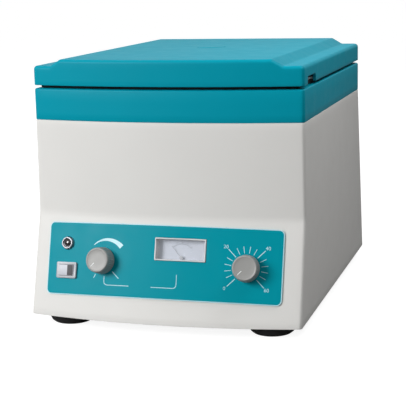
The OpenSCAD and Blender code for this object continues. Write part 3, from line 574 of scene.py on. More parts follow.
def spread(marks, a, b, first, last):
    """Marks between a and b stay, and those outside are stretched to end at first and at last."""
    low = a + (marks - a) / (marks[0] - a) * (first - a)
    high = b + (marks - b) / (marks[-1] - b) * (last - b)
    return np.where(marks < a, low, np.where(marks > b, high, marks))


def outline(t, front=0.0, rear=0.0, out=0.0):
    """Outline taken in by t, with its front, rear and sides moved out. The front is the arc
    y = c - sqrt(r^2 - x^2); quarter circles join it to the straight sides and back."""
    t, front, rear, out = [np.atleast_1d(v).astype(float)[:, None] for v in np.broadcast_arrays(t, front, rear, out)]
    half, r, centre, back = body_w / 2 - t + out, bow_r - t, bow_centre_y - front, back_y - t + rear
    rf, rr = np.maximum(front_corner - t, 0), np.maximum(rear_corner - t, 0)
    tilt = np.arcsin((half - rf) / (r - rf))
    knee = centre - (r - rf) * np.cos(tilt)
    s = np.arange(1, 8) / 8
    fx = spread(across, *fixed_x, -r * np.sin(tilt), r * np.sin(tilt))
    bx = spread(across, *fixed_x, rr - half, half - rr)
    sy = spread(along, *fixed_y, knee, back - rr)
    arc = [(tilt - np.pi / 2) * (1 - s), s * np.pi / 2, (1 + s) * np.pi / 2, np.pi + s * (np.pi / 2 - tilt)]
    xs = [fx, half - rf + rf * np.cos(arc[0]), half + 0 * sy, half - rr + rr * np.cos(arc[1]), bx[:, ::-1],
          rr - half + rr * np.cos(arc[2]), 0 * sy - half, rf - half + rf * np.cos(arc[3])]
    ys = [centre - np.sqrt(r ** 2 - fx ** 2), knee + rf * np.sin(arc[0]), sy, back - rr + rr * np.sin(arc[1]),
          back + 0 * bx, back - rr + rr * np.sin(arc[2]), sy[:, ::-1], knee + rf * np.sin(arc[3])]
    return np.stack([np.concatenate(xs, 1), np.concatenate(ys, 1)], -1)


def walls(levels, shift=None):
    """Outlines at rows of (inset, z), as a grid."""
    t, z = np.asarray(levels, float).T
    return lifted(outline(t) if shift is None else outline(t, *shift(z)), z)


def inner_field(t):
    """The inside of the outline at inset t as an open grid: x as given, y between front and back."""
    x = spread(across, *fixed_x, t - body_w / 2, body_w / 2 - t)[:, None]
    front = bow_centre_y - np.sqrt((bow_r - t) ** 2 - x ** 2)
    y = spread(along[None, :], *fixed_y, front, back_y - t + 0 * x)
    return np.stack(np.broadcast_arrays(x, y), -1)


print("front middle at", outline(0)[0, len(across) // 2].round(2))

# %% [markdown]
# ## The cabinet
#
# The cabinet is folded and welded sheet. Its front leans out below a soft crease at the waist,
# the back runs out too, and the sides flare by a hair. It is one wall, from a ledge at the
# floor up to the collar, made as rows of outlines. The back has slots for air, and openings
# for the inlet and the fuse.

# %% Places on the leaning front and on the back
lean = np.degrees(np.arctan(front_kick / (waist_z - base_z)))
face_r = bow_r / np.cos(np.radians(lean))
rear_lean = np.degrees(np.arctan(rear_kick / (collar_z - base_z)))
foot_of_face = moved(0, -total_d / 2, base_z) @ turned("x", -lean)


def on_face(u, v):
    """Place on the leaning front: x along it, y up the slope, z straight out."""
    return (foot_of_face @ moved(0, face_r, 0) @ turned("z", np.degrees(u / face_r))
            @ moved(0, -face_r, v) @ turned("x", 90))


def on_back(x, v):
    """Place on the back wall, z straight out."""
    return moved(0, total_d / 2, base_z) @ turned("x", rear_lean) @ moved(x, 0, v) @ turned("x", 90) @ turned("y", 180)


def face_points(u, v, n):
    """Points at u along the bow, v up the slope and n proud of it: a round wall of radius face_r + n."""
    u, v, n = np.broadcast_arrays(u, v, n)
    local = np.stack([(face_r + n) * np.sin(u / face_r), face_r - (face_r + n) * np.cos(u / face_r), v], -1)
    return carried(local, foot_of_face)


panel_u, panel_v, panel_w, panel_h = -2.0, 69.5, 274.0, 82.0
left_u, right_u = panel_u - panel_w / 2, panel_u + panel_w / 2
pilot_at, switch_at = (left_u + 25, panel_v + 17), (left_u + 25.5, panel_v - 13.5)
speed_at, timer_at = (left_u + 69.5, panel_v - 1.2), (right_u - 40, panel_v - 2.5)
window_at = (panel_u + 23, panel_v + 14.5)
print("lean", round(lean, 2), "speed knob at", carried([0, 0, 0], on_face(*speed_at)).round(1))

# %% Build the cabinet


def kicks(z):
    """How far the front, the back and the sides are moved out at height z. The crease at the
    waist is the mean of max(0, rise) over four millimetres above and below."""
    step = np.linspace(-4, 4, 17)[:, None]
    front = front_kick * np.maximum(0, (waist_z - z - step) / (waist_z - base_z)).mean(0)
    share = np.maximum(0, (collar_z - z) / (collar_z - base_z))
    return front, rear_kick * share, flare * share


heights = np.concatenate([[13.2, 20], np.linspace(34, 118, 7), np.linspace(121, 130, 10),
                          np.linspace(138, 222, 6), [229.8]])
upper_edge = [(0.15, 230.5), (0.5, 230.85), (1.1, 231), (2.2, 231)]
cabinet_rows = ([(1.2, 12), (0.3, 12.3)] + [(0, z) for z in heights] + upper_edge
                + [(wall, z) for z in heights[::-1]] + [(wall, 13), (10, 13), (10, 12)])
control_holes = [placed(hole, on_face(*at)) for hole, at in (
    (disc(5.3, -20, 12), pilot_at), (block(21.6, 14.6, 32, 1, z=-20), switch_at),
    (disc(4.8, -20, 12), speed_at), (disc(4.8, -20, 12), timer_at),
    (block(58.6, 25.6, 32, 1, z=-20), window_at))]
inlet_at, fuse_at = (96, 42), (52, 42)
back_holes = [placed(block(27.6, 20.6, 30, 1, z=-15), on_back(*inlet_at)),
              placed(disc(6.3, -15, 15), on_back(*fuse_at))]
back_holes += [placed(block(52, 3.5, 30, 1.7, z=-15), on_back(side * 62, 101.75 + 9 * i))
               for side in (-1, 1) for i in range(9)]
piece("cabinet", [tube(walls(cabinet_rows, kicks), ring=True)], "white_enamel", "housing", "body_shell",
      holes=control_holes + back_holes)

# %% [markdown]
# ## The collar
#
# The collar is a moulding that sits on the cabinet. Its deck runs in to a round opening for the
# bowl. The deck's rows slide from the outline to that circle, point by point.

# %% Build the collar


def deck(t, radius, count, z):
    """Rows from the outline at inset t to a circle about the spindle: (1-s) outline + s circle."""
    edge = outline(t)[0]
    a = np.arctan2(edge[:, 1] - spindle_y, edge[:, 0])
    circle = np.stack([radius * np.cos(a), radius * np.sin(a) + spindle_y], -1)
    s = np.linspace(0, 1, count)[:, None, None]
    return lifted((1 - s) * edge + s * circle, z)


skirt = walls([(3, 231.2), (2.6, 231), (0.9, 231), (0.3, 231.2), (0, 231.8), (0, 240), (0, 252), (0, 263.8),
               (0.35, 265.2), (1.2, 266.0), (2.4, deck_z)])
under = walls([(5, 263.3), (3.3, 262.7), (3, 261), (3, 246)])
spigot = walls([(2.9, 223.2), (4.8, 223), (4.8, 237), (2.8, 237), (2.8, 224)])
deck_top, deck_low = deck(6, 129.3, 7, deck_z), deck(6, 129.3, 7, 263.3)
piece("collar", [tube(np.concatenate([skirt, deck_top, deck_low[::-1], under]), ring=True), tube(spigot, ring=True)],
      "teal_plastic", "housing", "top_ring")

# %% [markdown]
# ## The lid
#
# The lid is a shell with a raised middle. Across, its height is a trapezium whose corners are
# a little soft. Down its edge it is rounded, and each side has a finger notch where the rim
# rises. The top is an open grid, so the creases of the raised middle run straight along it,
# and rows of outlines carry it over the edge, down the rim and up inside.

# %% Heights over the lid


def lid_top(x, soft=0.9):
    """Height of the lid over x: plateau, slope and shoulder, averaged over soft millimetres."""
    step = np.linspace(-soft, soft, 9)
    rise = np.mean([np.clip((ramp_x - np.abs(x) - s) / ramp_run, 0, 1) for s in step], axis=0)
    return shoulder_z + (plateau_z - shoulder_z) * rise


def lid_under(x):
    """Height of the lid's inner side over x: 3 mm lower, with its slope 1.8 mm further in."""
    return lid_top(np.abs(x) + 1.8) - 3


def notch(x, y):
    """How far the rim rises at the finger notches: a rounded rectangle along each side."""
    e = np.minimum(y - notch_y0, notch_y1 - y)
    bend_up = notch_h - notch_r + np.sqrt(np.maximum(notch_r ** 2 - (notch_r - np.clip(e, 0, notch_r)) ** 2, 0))
    return np.where((e >= -0.001) & (np.abs(x) > fixed_x[1]), bend_up, 0)


def over_edge(t, r):
    """How far a rounded edge of radius r has dropped at depth t inside the outline."""
    return r - np.sqrt(np.maximum(r ** 2 - np.maximum(r - t, 0) ** 2, 0))


# %% Build the lid
edge_r, lid_in = 4.2, 9.0
outer_t = np.array([lid_in, 6.5, edge_r, 3.2, 2.3, 1.5, 0.85, 0.38, 0.1, 0])
outer = outline(outer_t)
outer_z = lid_top(outer[..., 0]) - over_edge(outer_t[:, None], edge_r)
rim_t = np.array([0, 0, 0, 0, 0.2, 0.7, 1.3, 2.4, 2.9, 3, 3, 3])
rim = outline(rim_t)
low = lid_z + notch(rim[..., 0], rim[..., 1])
high = lid_top(rim[..., 0]) - edge_r - 0.5
rim_z = low + np.array([0.75, 0.5, 0.25, 0, 0, 0, 0, 0, 0, 0, 0.4, 0.8])[:, None] * (high - low)
rim_z[3:9] = low[3:9] + np.array([0.7, 0.2, 0, 0, 0, 0.25])[:, None]
inner_t = np.array([3.4, 4.6, lid_in])
inside = outline(inner_t)
inside_z = lid_under(inside[..., 0]) - np.array([1.6, 0.3, 0])[:, None]
rows = np.concatenate([np.dstack(pair) for pair in ((outer, outer_z), (rim, rim_z), (inside, inside_z))])
field = inner_field(lid_in)
skins = [patch(np.dstack([field, height(field[..., 0])])) for height in (lid_top, lid_under)]
points, blocks = tube(rows)
mark_at, mark_r = (0, 20), 16.25
groove = rounded([(mark_r + dr, z) for dr, z in ((0.15, 298.2), (1.25, 298.2), (1.25, 300), (0.15, 300))], 0.25, 3)
piece("lid", [(points, blocks[:1])] + skins, "teal_plastic", "lid", "lid_shell",
      holes=[turned_part(groove, 96, centre=mark_at)])
mark = [(0, 298.3), (15.9, 298.3), (mark_r, 298.5), (mark_r, 298.9), (15.9, 299.05), (0, 299.05)]
piece("lid_disc", [turned_part(mark, 96, ring=False, centre=mark_at)], "teal_plastic", "lid")

# %% [markdown]
# ## Under the lid
#
# A flat white liner closes the lid from below. It carries two seals: a strip that follows the
# lid's edge, and a ring that meets the flange of the bowl. The strip sits close to the edge, so
# its black is partly painted shade: it darkens the gap between lid and collar, where shade falls.

# %% Liner and seals
liner_z, liner_in = 272.0, 9.3
field = inner_field(liner_in)
lp, lb = tube(walls([(liner_in, liner_z + 2), (3.8, liner_z + 2), (3.3, liner_z + 1.6), (3.3, liner_z + 0.4),
                     (3.8, liner_z), (liner_in, liner_z)]))
pull = [placed(block(13, 48, 8, 1.5, z=liner_z - 3), moved(s * 155, notch_y0 + 22, 0)) for s in (-1, 1)]
piece("liner", [(lp, lb[:1])] + [patch(lifted(field, z)) for z in (liner_z + 2, liner_z)], "white_plastic", "lid",
      "lid_liner", holes=pull)
# The edge strip is a seal that the lid rests on, and its black near the edge is also painted shade for the gap.
strip = [(7, 271.9), (7, 268), (7.5, 267), (8.3, 266.6), (9.7, 266.6), (10.5, 267), (11, 268), (11, 271.9)]
piece("edge_seal_and_gap_shade", [tube(walls(strip), ring=True)], "black_rubber", "lid", "lid_gasket")
seal = rounded([(132, 272), (132, 268.2), (133.2, 267.6), (135.8, 267.6), (137, 268.2), (137, 272)], 0.6)
piece("bowl_ring_seal", [turned_part(seal, 160, centre=(0, spindle_y))], "grey_rubber", "lid", "bowl_seal")

# %% [markdown]
# ## The control panel
#
# The panel is a thin printed sheet that follows the bow of the leaning front. It is a grid in
# the front's own coordinates: u along the bow, v up the slope. The print is a few hundredths
# of a millimetre proud of it, and follows the same bend.

# %% Build the panel


def bow_sheet(u, v, w, h, r, n0, n1, columns=61, rows=25):
    """A sheet with round corners on the bowed front, from n0 to n1 proud of it. At each end its
    lower edge is v - h/2 + r - sqrt(r^2 - (|u| - w/2 + r)^2)."""
    du = np.sin(np.linspace(-np.pi / 2, np.pi / 2, columns))[:, None] * w / 2
    into = np.clip(np.abs(du) - w / 2 + r, 0, r)
    half = h / 2 - r + np.sqrt(np.maximum(r ** 2 - into ** 2, 0))
    dv = np.linspace(-1, 1, rows)[None, :] * half
    return slab(face_points(u + du, v + dv, n1), face_points(u + du, v + dv, n0))


piece("panel", [bow_sheet(panel_u, panel_v, panel_w, panel_h, 6, 0.1, 1.3)], "panel_teal", "housing", "control_panel",
      holes=control_holes, bevel=0.25)

# %% Print on the panel
ink, ink_foot = 1.36, 1.25      # the print stands this far off the front, and starts inside the panel


def evenly(points, step, closed=False):
    """Points at even steps along a path, so that what is drawn along it can follow the bow."""
    p = np.asarray(points, float)
    p = np.concatenate([p, p[:1]]) if closed else p
    run = np.concatenate([[0], np.cumsum(np.linalg.norm(np.diff(p, axis=0), axis=1))])
    at = np.linspace(0, run[-1], max(3, int(run[-1] / step) + 1))[: -1 if closed else None]
    return np.stack([np.interp(at, run, p[:, i]) for i in range(2)], -1)


def sideways(way, width):
    """Half the width, square to a path whose direction at each point is way."""
    return np.stack([-way[:, 1], way[:, 0]], -1) / np.linalg.norm(way, axis=1, keepdims=True) * width / 2


def loop_line(u, v, w, h, r, width):
    """A pale line of a given width round a rounded rectangle, as far off the front as the print."""
    middle = evenly(rectangle(w - width, h - width, r - width / 2, 12)[0], 1.5, closed=True)
    side = sideways(np.roll(middle, -1, 0) - np.roll(middle, 1, 0), width)
    flat = np.stack([middle - side, middle - side, middle + side, middle + side])
    n = np.array([ink_foot, ink, ink, ink_foot])[:, None]
    return tube(face_points(u + flat[..., 0], v + flat[..., 1], n), ring=True)


def line_print(points, width):
    """A printed line along points (u, v): each point is widened across the line by width."""
    p = evenly(points, 1.5) if np.ndim(width) == 0 else np.asarray(points, float)
    side = sideways(np.gradient(p, axis=0), np.broadcast_to(width, len(p))[:, None])
    grid = np.stack([p - side, p + side], 1)
    return slab(*[face_points(grid[..., 0], grid[..., 1], n) for n in (ink, ink_foot)])


def arc_points(centre, r, start, stop, count=24):
    """Points on an arc, with the radius running evenly between its two values if two are given."""
    a = np.radians(np.linspace(start, stop, count))
    radius = np.linspace(*np.broadcast_to(r, 2), count)
    return np.stack([centre[0] + radius * np.cos(a), centre[1] + radius * np.sin(a)], -1)


def tick(centre, angle, r0, r1, width):
    """A short printed line that points away from a centre."""
    a = np.radians(angle)
    way = np.array([np.cos(a), np.sin(a)])
    return line_print([np.add(centre, way * r) for r in np.linspace(r0, r1, 3)], width)


def number(text, u, v, size=5.6):
    """A plain number printed on the panel, made as text and then bent over the front."""
    curve = bpy.data.curves.new("digits", "FONT")
    curve.body, curve.size, curve.extrude, curve.resolution_u = text, size, 0.5, 3
    curve.align_x, curve.align_y = "CENTER", "CENTER"
    ob = bpy.data.objects.new("digits", curve)
    bpy.context.collection.objects.link(ob)
    mesh = bpy.data.meshes.new_from_object(ob.evaluated_get(bpy.context.evaluated_depsgraph_get()))
    co = np.zeros(len(mesh.vertices) * 3)
    mesh.vertices.foreach_get("co", co)
    x, y, z = co.reshape(-1, 3).T
    faces = [[list(p.vertices)] for p in mesh.polygons]
    bpy.data.objects.remove(ob)
    return face_points(u + x, v + y, ink_foot + (ink - ink_foot) * (z + 0.5)), faces


wedge_a, wedge_w = np.radians(np.linspace(130, 40, 40)), np.linspace(0.6, 5.6, 40)
wedge_r = 22.2 + wedge_w / 2
wedge = np.stack([speed_at[0] + 3 + wedge_r * np.cos(wedge_a), speed_at[1] + wedge_r * np.sin(wedge_a)], -1)
print_parts = [line_print(wedge, wedge_w), tick(speed_at, 243, 17.0, 22.0, 0.7), tick(speed_at, -43, 17.0, 28.0, 0.7)]
for k in range(16):
    r1, width = (28.5, 0.8) if k % 5 == 0 else (24.0, 0.6)
    print_parts.append(tick(timer_at, 225 - 18 * k, 16.6, r1, width))
for text, a in zip(("0", "20", "40", "60"), np.radians((225, 135, 45, -45))):
    print_parts.append(number(text, timer_at[0] + 32.5 * np.cos(a), timer_at[1] + 32 * np.sin(a)))
bracket_v = panel_v - 28.0
for corner_u, end_u, top_v in ((-66.5, -36.6, panel_v - 18.6), (18.4, -10.4, panel_v - 13)):
    path = rounded([(corner_u, top_v), (corner_u, bracket_v), (end_u, bracket_v)], 4, closed=False)
    print_parts.append(line_print(path, 0.65))
piece("panel_print", print_parts, "pale_print_and_edge_highlight", "housing")
# The pale line round the panel's very edge is a painted highlight, not print: it copies the bright fringe along the
# edge.
edge_highlight = loop_line(panel_u, panel_v, panel_w - 0.1, panel_h - 0.1, 5.95, 0.9)
piece("panel_edge_highlight", [edge_highlight], "pale_print_and_edge_highlight", "housing")

# %% [markdown]
# ## Knobs
#
# A knob is turned, with thirty-six flutes round its side. Its radius is a function of height
# and angle: the profile's radius less the depth of a flute. The flutes fade out before the
# face, which is a little dished inside a bright rim. A groove marks the pointer.

# %% Build the knobs


def reach(node, place):
    """The largest distance of a node's points from the Z axis of a place, in millimetres."""
    mesh = frame["nodes"][node].data
    co = np.zeros(len(mesh.vertices) * 3)
    mesh.vertices.foreach_get("co", co)
    near = carried(co.reshape(-1, 3) / mm, np.linalg.inv(place))
    return float(np.hypot(near[:, 0], near[:, 1]).max())


knob_r = round(reach("speed_knob", on_face(*speed_at)), 1)
print("knobs have a radius of", knob_r)


def fluted(rows, count, steps, depth, sharp, centre=(0, 0)):
    """Rows (r, z, share), turned, with count flutes round the side. The radius is r less depth
    times share times |cos(count a / 2)| to the power 2 sharp, which is 1 in mid flute."""
    a = np.linspace(0, 2 * np.pi, count * steps, endpoint=False)
    r = rows[:, :1] - depth * rows[:, 2:] * np.abs(np.cos(a * count / 2)) ** (2 * sharp)
    return tube(around(r, rows[:, 1], centre), ring=True)


# Rows of a knob: how far in from the rim, height, share of the flute's depth.
rim = np.array([(1.2, 1.8, 0), (0.3, 2.0, 0), (0, 2.6, 0), (0.05, 3.4, 0.25), (0.1, 4.0, 1), (0.4, 8.5, 1),
                (0.8, 13.2, 1), (0.95, 14.2, 0.8), (1.1, 14.8, 0.35), (1.4, 15.3, 0), (1.9, 16.3, 0),
                (2.2, 16.65, 0), (2.6, 16.8, 0), (3.2, 16.75, 0), (3.6, 16.5, 0), (4.1, 16.4, 0), (9, 16.25, 0)])
rim[:, 0] = knob_r - rim[:, 0]
knob_rows = np.vstack([(3.05, 1.8, 0), rim, (0.01, 16.2, 0), (0.01, 12.9, 0), (3.05, 12.9, 0)])
for name, at, depth in (("speed", speed_at, 14), ("time", timer_at, 30)):
    body, here = name + "_dial", on_face(*at)
    pointer = here @ turned("z", 135) @ moved(0, knob_r - 7, 0)
    piece(name + "_knob_finished", [placed(fluted(knob_rows, 36, 8, 0.75, 3.0), here)], "grey_plastic", body,
          name + "_knob", holes=[placed(block(1.0, 7.5, 3, 0.3, 0.1, z=15.9), pointer)], edge=28)
    piece(name + "_pointer", [placed(block(0.8, 7.2, 0.5, 0.3, 0.1, z=15.75), pointer)], "print_white", body)
    piece(name + "_spindle", [placed(disc(3, -2.5 - depth + 4.2, 12.8), here)], "bright_steel", body, name + "_shaft")

# %% [markdown]
# ## Switch, pilot lamp and meter
#
# The rocker tips inside a frame that stands a little proud of the panel. A dark grey plate on
# its right half is painted shade for the half that is pressed in. The pilot lamp is a
# plated ring with a domed red lens. The meter's card lies seven millimetres behind its window,
# with a printed arc and a thin needle.

# %% Switch and pilot lamp
soften("switch_frame", 0.35, slot="frame_grey")
soften("switch_rocker", 0.5, slot="rocker_light")
at_rocker = on_face(*switch_at) @ moved(0, 0, 0.3) @ turned("y", 6)
shade = at_rocker @ moved(4.6, 0, 3.98) @ turned("y", -7.86)
# Painted shade: a dark grey plate over the rocker's pressed-in right half, where shade falls.
piece("rocker_shade_pad", [placed(block(7.4, 11.7, 0.25, 0.5, 0.06, z=-0.07), shade)], "painted_rocker_shade", "rocker")
at_pilot = on_face(*pilot_at)
ring_profile = rounded([(3.82, -9.9), (5.0, -9.9), (5.0, 1.35), (7.5, 1.35), (7.5, 2.2), (6.4, 4.75), (5.4, 4.75),
                        (4.3, 3.5), (3.82, 3.4)], 0.35, 4)
nut = frame_part(15, 15, 0.6, [(0.3, -5.7), (0, -5.4), (0, -3.4), (0.3, -3.1)])
lens = [(0, -9.9), (3.75, -9.9), (3.75, 2.9), (3.5, 3.3), (2.9, 3.75), (1.9, 4.1), (0.9, 4.27), (0, 4.3)]
for name, part, slot, node in (("pilot_ring", turned_part(ring_profile, 72), "chrome_ring", "pilot_bezel"),
                               ("pilot_nut", nut, "plated_steel", "pilot_bezel"),
                               ("pilot_dome", turned_part(lens, 40, ring=False), "smoked_lens", "pilot_lens")):
    piece(name, [placed(part, at_pilot)], slot, "housing", node)

# %% Meter
window_w, window_h = 58.0, 25.0
at_meter = on_face(*window_at)
at_pivot = at_meter @ moved(0, -8.6, 0)
case_back = block(70, 35, 26.5, 2, 0.6, z=-30)
edge_profile = [(0, -4.0), (0, 1.5), (0.1, 1.8), (0.35, 1.9), (1.1, 1.9), (1.35, 1.8), (1.5, 1.5), (1.5, -8.2),
                (0.5, -8.2), (0.2, -7.0)]
edge_frame = frame_part(window_w, window_h, 0.9, edge_profile, ring=True)
well = block(window_w - 3.0, window_h - 3.0, 20, 0.4, 0.1, z=-8.2)
card, pane = [block(window_w - 3.2, window_h - 3.2, d, 0.4, 0.15, z=z) for d, z in ((1.1, -8.1), (1.2, -0.3))]
for name, part, slot, node, holes in (
        ("meter_body", case_back, "light_plastic", "meter_case", [placed(well, at_meter)]),
        ("meter_frame", edge_frame, "light_plastic", "meter_case", ()),
        ("meter_card", card, "dial_card", "meter_dial", [placed(disc(0.7, -9, -5, 0.1, 24), at_pivot)]),
        ("meter_pane", pane, "clear_window", "meter_window", ())):
    piece(name, [placed(part, at_meter)], slot, "housing", node, holes=holes)


def card_line(points, width, z=-6.98):
    """A printed line on the meter's card."""
    p = np.asarray(points, float)
    side = sideways(np.gradient(p, axis=0), width)
    flat = np.stack([p - side, p + side], 1)
    return placed(slab(lifted(flat, z + 0.04), lifted(flat, z - 0.03)), at_meter)


pivot = (0.0, -8.6)
scale = [card_line(arc_points(pivot, 15.0, 132, 48, 40), 0.25)]
for k, a in enumerate(np.radians(np.linspace(132, 48, 21))):
    r1, width = (17.4, 0.3) if k % 5 == 0 else (16.3, 0.16)
    scale.append(card_line(np.outer(np.linspace(15.0, r1, 3), [np.cos(a), np.sin(a)]) + pivot, width))
piece("meter_scale", scale, "print_grey", "housing")
run = np.linspace(-3.0, 17.0, 9)
half = np.interp(run, [-3, 0, 17], [0.7, 0.5, 0.12]) / 2
arm = np.stack([np.stack([-half, run], -1), np.stack([half, run], -1)], 1)
at_needle = at_pivot @ turned("z", 42)
arm = placed(slab(lifted(arm, -4.6), lifted(arm, -5.0)), at_needle)
piece("needle_arm", [arm], "print_grey", "needle", "meter_needle")
hub = [(0, -7.8), (0.6, -7.8), (0.6, -5.8), (1.8, -5.8), (2, -5.6), (2, -4.2), (1.7, -4.0), (0, -4.0)]
piece("needle_hub", [placed(turned_part(hub, 32, ring=False), at_needle)], "frame_grey", "needle", "meter_needle")

# %% [markdown]
# ## Feet
#
# Four rubber cups stand under the corners, each with a recess for its screw.

# %% Build the feet and screws
feet_at = [(sx * 118.0, y) for sx in (-1, 1) for y in (-171.4, 176.6)]
cup = rounded([(6, 0), (21.2, 0), (24.3, 2.5), (27, 8.6), (27, 12), (10, 12), (10, 13), (2.8, 13), (2.8, 5), (6, 5)],
              [0.4, 1.2, 1.5, 1.2, 0.3, 0.1, 0.2, 0.2, 0.2, 0.3], 4)
piece("feet_finished", [turned_part(cup, 72, centre=c) for c in feet_at], "black_rubber", "housing", "feet")
soften("foot_screws", 0.25)

# %% [markdown]
# ## The back
#
# The two hinges are pressed leaves with rolled knuckles round a pin. They are screwed on with
# small round-headed screws. The inlet is a moulded recess with three blades, and the fuse sits
# in a slotted cap beside it.

# %% Hinges, inlet and fuse
for node in ("hinge_brackets", "lid_hinge_arms", "hinge_pins", "power_inlet", "fuse_holder"):
    soften(node, 0.2 if node == "hinge_pins" else 0.3)


def screw_head(r=2.6, h=1.5):
    """A round screw head: its height falls as h sqrt(1 - (r/R)^2)."""
    x = np.sin(np.linspace(0, np.pi / 2, 8)) * r
    z = h * np.sqrt(np.maximum(1 - (x / r) ** 2, 0)) * 0.75 + 0.3
    return turned_part(np.concatenate([np.stack([x, z], -1), [(r, 0), (0, 0)]]), 28, ring=False)


def cross(at, w=0.7, l=3.4):
    """The cross recess of a screw, as two crossed bars."""
    return [placed(block(*size, 2, 0.2, 0.1, z=0.75), at) for size in ((l, w), (w, l))]


def screws(name, places, body):
    """Screw heads at places, each with its cross recess."""
    ob = piece(name, [placed(screw_head(), at) for at in places], "plated_steel", body)
    for bars in zip(*[cross(at) for at in places]):
        cut(ob, bars)
    shaded(ob, 32)


hinge_back = back_y + 2.0
screw_x = [side * 88 + dx for side in (-1, 1) for dx in (-10.5, 10.5)]
for name, z, body in (("bracket_screws", 246.5, "housing"), ("arm_screws", 283.5, "lid")):
    screws(name, [moved(x, hinge_back, z) @ turned("x", -90) for x in screw_x], body)
blade = block(2.1, 4.1, 9.5, 0.5, 0.2, z=-14.3)
blades = [placed(blade, on_back(*inlet_at) @ moved(x, y, 0)) for x, y in ((-7, -2), (0, 2), (7, -2))]
piece("inlet_blades", blades, "bright_steel", "housing")

# %% [markdown]
# ## The bowl
#
# The bowl is spun from stainless sheet over a former, so its bend is a smooth curve, its flange
# is flat, and fine rings run round it. A rubber boot with two folds closes the hole round the
# motor's neck.

# %% Bowl and boot
axis = (0, spindle_y)
bowl_profile = rounded([(30, 157.3), (129, 157.3), (129, 266.3), (138, 266.3), (138, 267.3), (128, 267.3),
                        (128, 158.3), (30, 158.3)], [0.2, 13, 0.4, 0.3, 0.3, 1.6, 12, 0.2], 12)
piece("bowl_spun", [turned_part(bowl_profile, 160, centre=axis)], "stainless", "housing", "bowl")
fold_r = np.linspace(33.2, 17.5, 25)
fold_z = np.interp(fold_r, [17.5, 33.2], [164.0, 160.6]) - 0.7 * (1 - np.cos(np.linspace(0, 4 * np.pi, 25)))
boot = np.concatenate([[(13.1, 154.4), (35.6, 154.6), (36, 155), (36, 157.3), (29.9, 157.3), (29.9, 158.3),
                        (36, 158.3), (35.6, 159.4)],
                       np.stack([fold_r, fold_z], -1), [(16.6, 164.2), (13.5, 164.3), (13.1, 164.0)]])
piece("boot", [turned_part(boot, 96, centre=axis)], "black_rubber", "housing", "shaft_boot")

# %% [markdown]
# ## The rotor
#
# The rotor is a turned alloy plate with a rim that hangs down and eight holes that lighten it.
# A cone of a hub carries it on the spindle, and a scalloped nut locks it. The nut's radius is
# the turned radius less fifteen rounded scallops.

# %% Rotor plate, hub and nut
plate = rounded([(14.05, 173.3), (112.4, 173.3), (113, 172.7), (113, 165.3), (116, 165.3), (116, 176.3),
                 (14.05, 176.3)], [0.2, 0.5, 0.5, 0.5, 0.5, 0.9, 0.3], 5)
holes = [turned_part([(0, 170), (8, 170), (8, 180), (0, 180)], 40, ring=False,
                     centre=(58 * np.cos(a), spindle_y + 58 * np.sin(a))) for a in np.radians(22.5 + 45 * np.arange(8))]
piece("rotor_disc", [turned_part(plate, 160, centre=axis)], "anodised", "rotor", "rotor_plate", holes=holes, bevel=0.3)
hub = rounded([(4.02, 169.3), (22, 169.3), (22, 173.3), (14, 173.3), (14, 176.3), (22, 176.3), (13, 208.3),
               (4.02, 208.3)], [0.2, 0.6, 0.2, 0.1, 0.1, 0.4, 0.5, 0.2], 4)
piece("hub_cone", [turned_part(hub, 96, centre=axis)], "anodised", "rotor", "rotor_hub")
nut_rows = np.array([(4.02, 208.3, 0), (13.7, 208.3, 0), (14, 208.6, 0), (14, 212, 0), (14.6, 212.4, 0),
                     (15.7, 212.5, 0.6), (16, 212.9, 1), (16, 224.6, 1), (15.6, 225.6, 1), (14.9, 226.2, 0.8),
                     (14, 226.3, 0.3), (9, 226.1, 0), (0.01, 226.0, 0), (0.01, 221.3, 0), (4.02, 221.3, 0)])
piece("lock_nut", [fluted(nut_rows, 15, 12, 1.7, 1.6, axis)], "black_plastic", "rotor", "rotor_nut")
soften("rotor_seats", 0.5)
soften("motor_shaft", 0.3)

# %% [markdown]
# ## Slide clips
#
# A spring-steel clip holds a glass slide, a filter card and a sample chamber together. The
# chamber is a cup whose outlet meets the card. The slide is clear, with a frosted end to write
# on. All four are the same, each about its own pivot, leaning inwards at rest.

# %% Places and pieces of a clip
clip_in, cup_x = -1.8, -14.8


def at_clip(k):
    """Place of clip k about its pivot, x outward."""
    return moved(0, spindle_y, 0) @ turned("z", 90 * (k - 1)) @ moved(96, 0, 187.3) @ turned("y", -15)


def upright(w, h, d, r, x, z, soft=0.25):
    """A plate that stands across x: w wide, h tall, d thick, from x outward, with its middle at height z."""
    return placed(block(w, h, d, r, soft), moved(x, 0, z) @ turned("y", 90) @ turned("z", 90))


cup_profile = rounded([(0.01, 8), (4.3, 8), (8, 17), (8, 47.6), (9.2, 48), (9.2, 50), (6.7, 50), (6.7, 18.2),
                       (2.6, 11.5), (0.01, 11.5)], [0, 0.8, 0.8, 0.6, 0.3, 0.4, 0.4, 0.6, 0.6, 0], 4)
for k in (1, 2, 3, 4):
    at, body = at_clip(k), f"clip_{k}"
    soften(f"slide_clip_{k}", 0.3)
    piece(f"slide_{k}", [placed(upright(26, 76, 1, 0.6, 1.9, 31.3, 0.12), at)], "clear_glass", body, f"glass_slide_{k}")
    piece(f"slide_end_{k}", [placed(upright(25.9, 19.8, 1.04, 0.6, 1.88, 59.3, 0.1), at)], "frosted_glass", body)
    funnel = [turned_part(cup_profile, 56, centre=(cup_x, 0)), upright(24, 52, 3, 1.2, clip_in, 20.3, 0.4),
              placed(disc(4.5, 0, 7.2, 0.3, 40), moved(-8.0, 0, 13) @ turned("y", 90))]
    ribs = [placed(block(5.6, 1.4, 26, 0.4, 0.2, z=20), moved(-4.4, y, 0)) for y in (-3.4, 3.4)]
    piece(f"chamber_{k}", [placed(part, at) for part in funnel + ribs], "funnel_plastic", body, f"sample_funnel_{k}")
    piece(f"card_{k}", [placed(upright(24, 68, 0.58, 0.8, 1.21, 28.3, 0.1), at)], "filter_card", body)

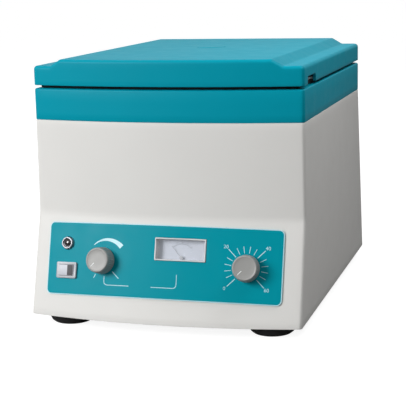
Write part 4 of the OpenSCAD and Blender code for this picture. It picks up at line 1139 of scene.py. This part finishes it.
# %% [markdown]
# ## Inside the cabinet
#
# The motor hangs from a plate on rubber dampers and pillars. The transformer, the board and the
# two controls stand behind the panel. Most of these are plain pressings and turnings, so they
# keep their shape and get softened edges. The board and transformer get their own parts, each
# in its own finish.

# %% Motor and its mounting
edge_widths = {"motor_can": 0.4, "motor_magnets": 0.4, "motor_end_bells": 0.8, "motor_bearings": 0.3,
               "motor_brushes": 0.4, "motor_armature": 0.4, "motor_plate": 0.5, "motor_dampers": 1.2,
               "motor_pillars": 0.5, "base_plate": 0.4, "speed_control": 0.5, "timer_unit": 0.8}
for node, width in edge_widths.items():
    soften(node, width)

# %% Board and transformer
at_board = moved(20, -142, 15)
board = block(96, 62, 1.6, 1.5, 0.15, z=8)
posts = [placed(disc(3, 0.01, 8, 0.2, 24), at_board @ moved(x, y, 0)) for x in (6, 90) for y in (6, 56)]
piece("circuit_board", [placed(board, at_board @ moved(48, 31, 0))] + posts, "board_green", "housing", "control_board")
relay = block(22, 30, 24, 1, 0.6, z=9.6)
piece("board_relay", [placed(relay, at_board @ moved(21, 25, 0))], "white_plastic", "housing")
sleeve = rounded([(0.01, 9.6), (7, 9.6), (7, 11.6), (6.6, 12.4), (7, 13.2), (7, 31.6), (5.9, 31.6), (5.7, 31.2),
                  (0.01, 31.2)], 0.3, 4)
spots = [at_board @ moved(x, 38, 0) for x in (44, 62, 80)]
chip_spots = [at_board @ moved(x + 3.5, 15, 0) for x in (42, 54, 66, 78)]
for name, part, places, slot in (("board_capacitors", turned_part(sleeve, 40), spots, "black_plastic"),
                                 ("capacitor_tops", disc(5.6, 30.9, 31.45, 0.2, 40), spots, "bright_steel"),
                                 ("board_chips", block(7, 10, 6, 0.5, 0.3, z=9.6), chip_spots, "black_plastic")):
    piece(name, [placed(part, at) for at in places], slot, "housing")
at_core = moved(-116, -132, 15)
core_middle = at_core @ moved(33, 22, 0)
windows = [placed(block(11, 80, 34, 0.3, 0.05, z=11), at_core @ moved(x, 22, 0)) for x in (16.5, 49.5)]
piece("transformer_core", [placed(block(66, 44, 56, 0.8, 0.4), core_middle)], "iron_core", "housing", "transformer",
      holes=windows)
turns = rectangle([42, 43.6, 43.6, 42, 22.6, 22.6], [56.4, 58, 58, 56.4, 44.6, 44.6], [5, 6, 6, 5, 0.6, 0.6])
winding = tube(lifted(turns, [11.2, 12, 44, 44.8, 44.8, 11.2]), ring=True)
piece("transformer_winding", [placed(winding, core_middle)], "copper_winding", "housing", "transformer")
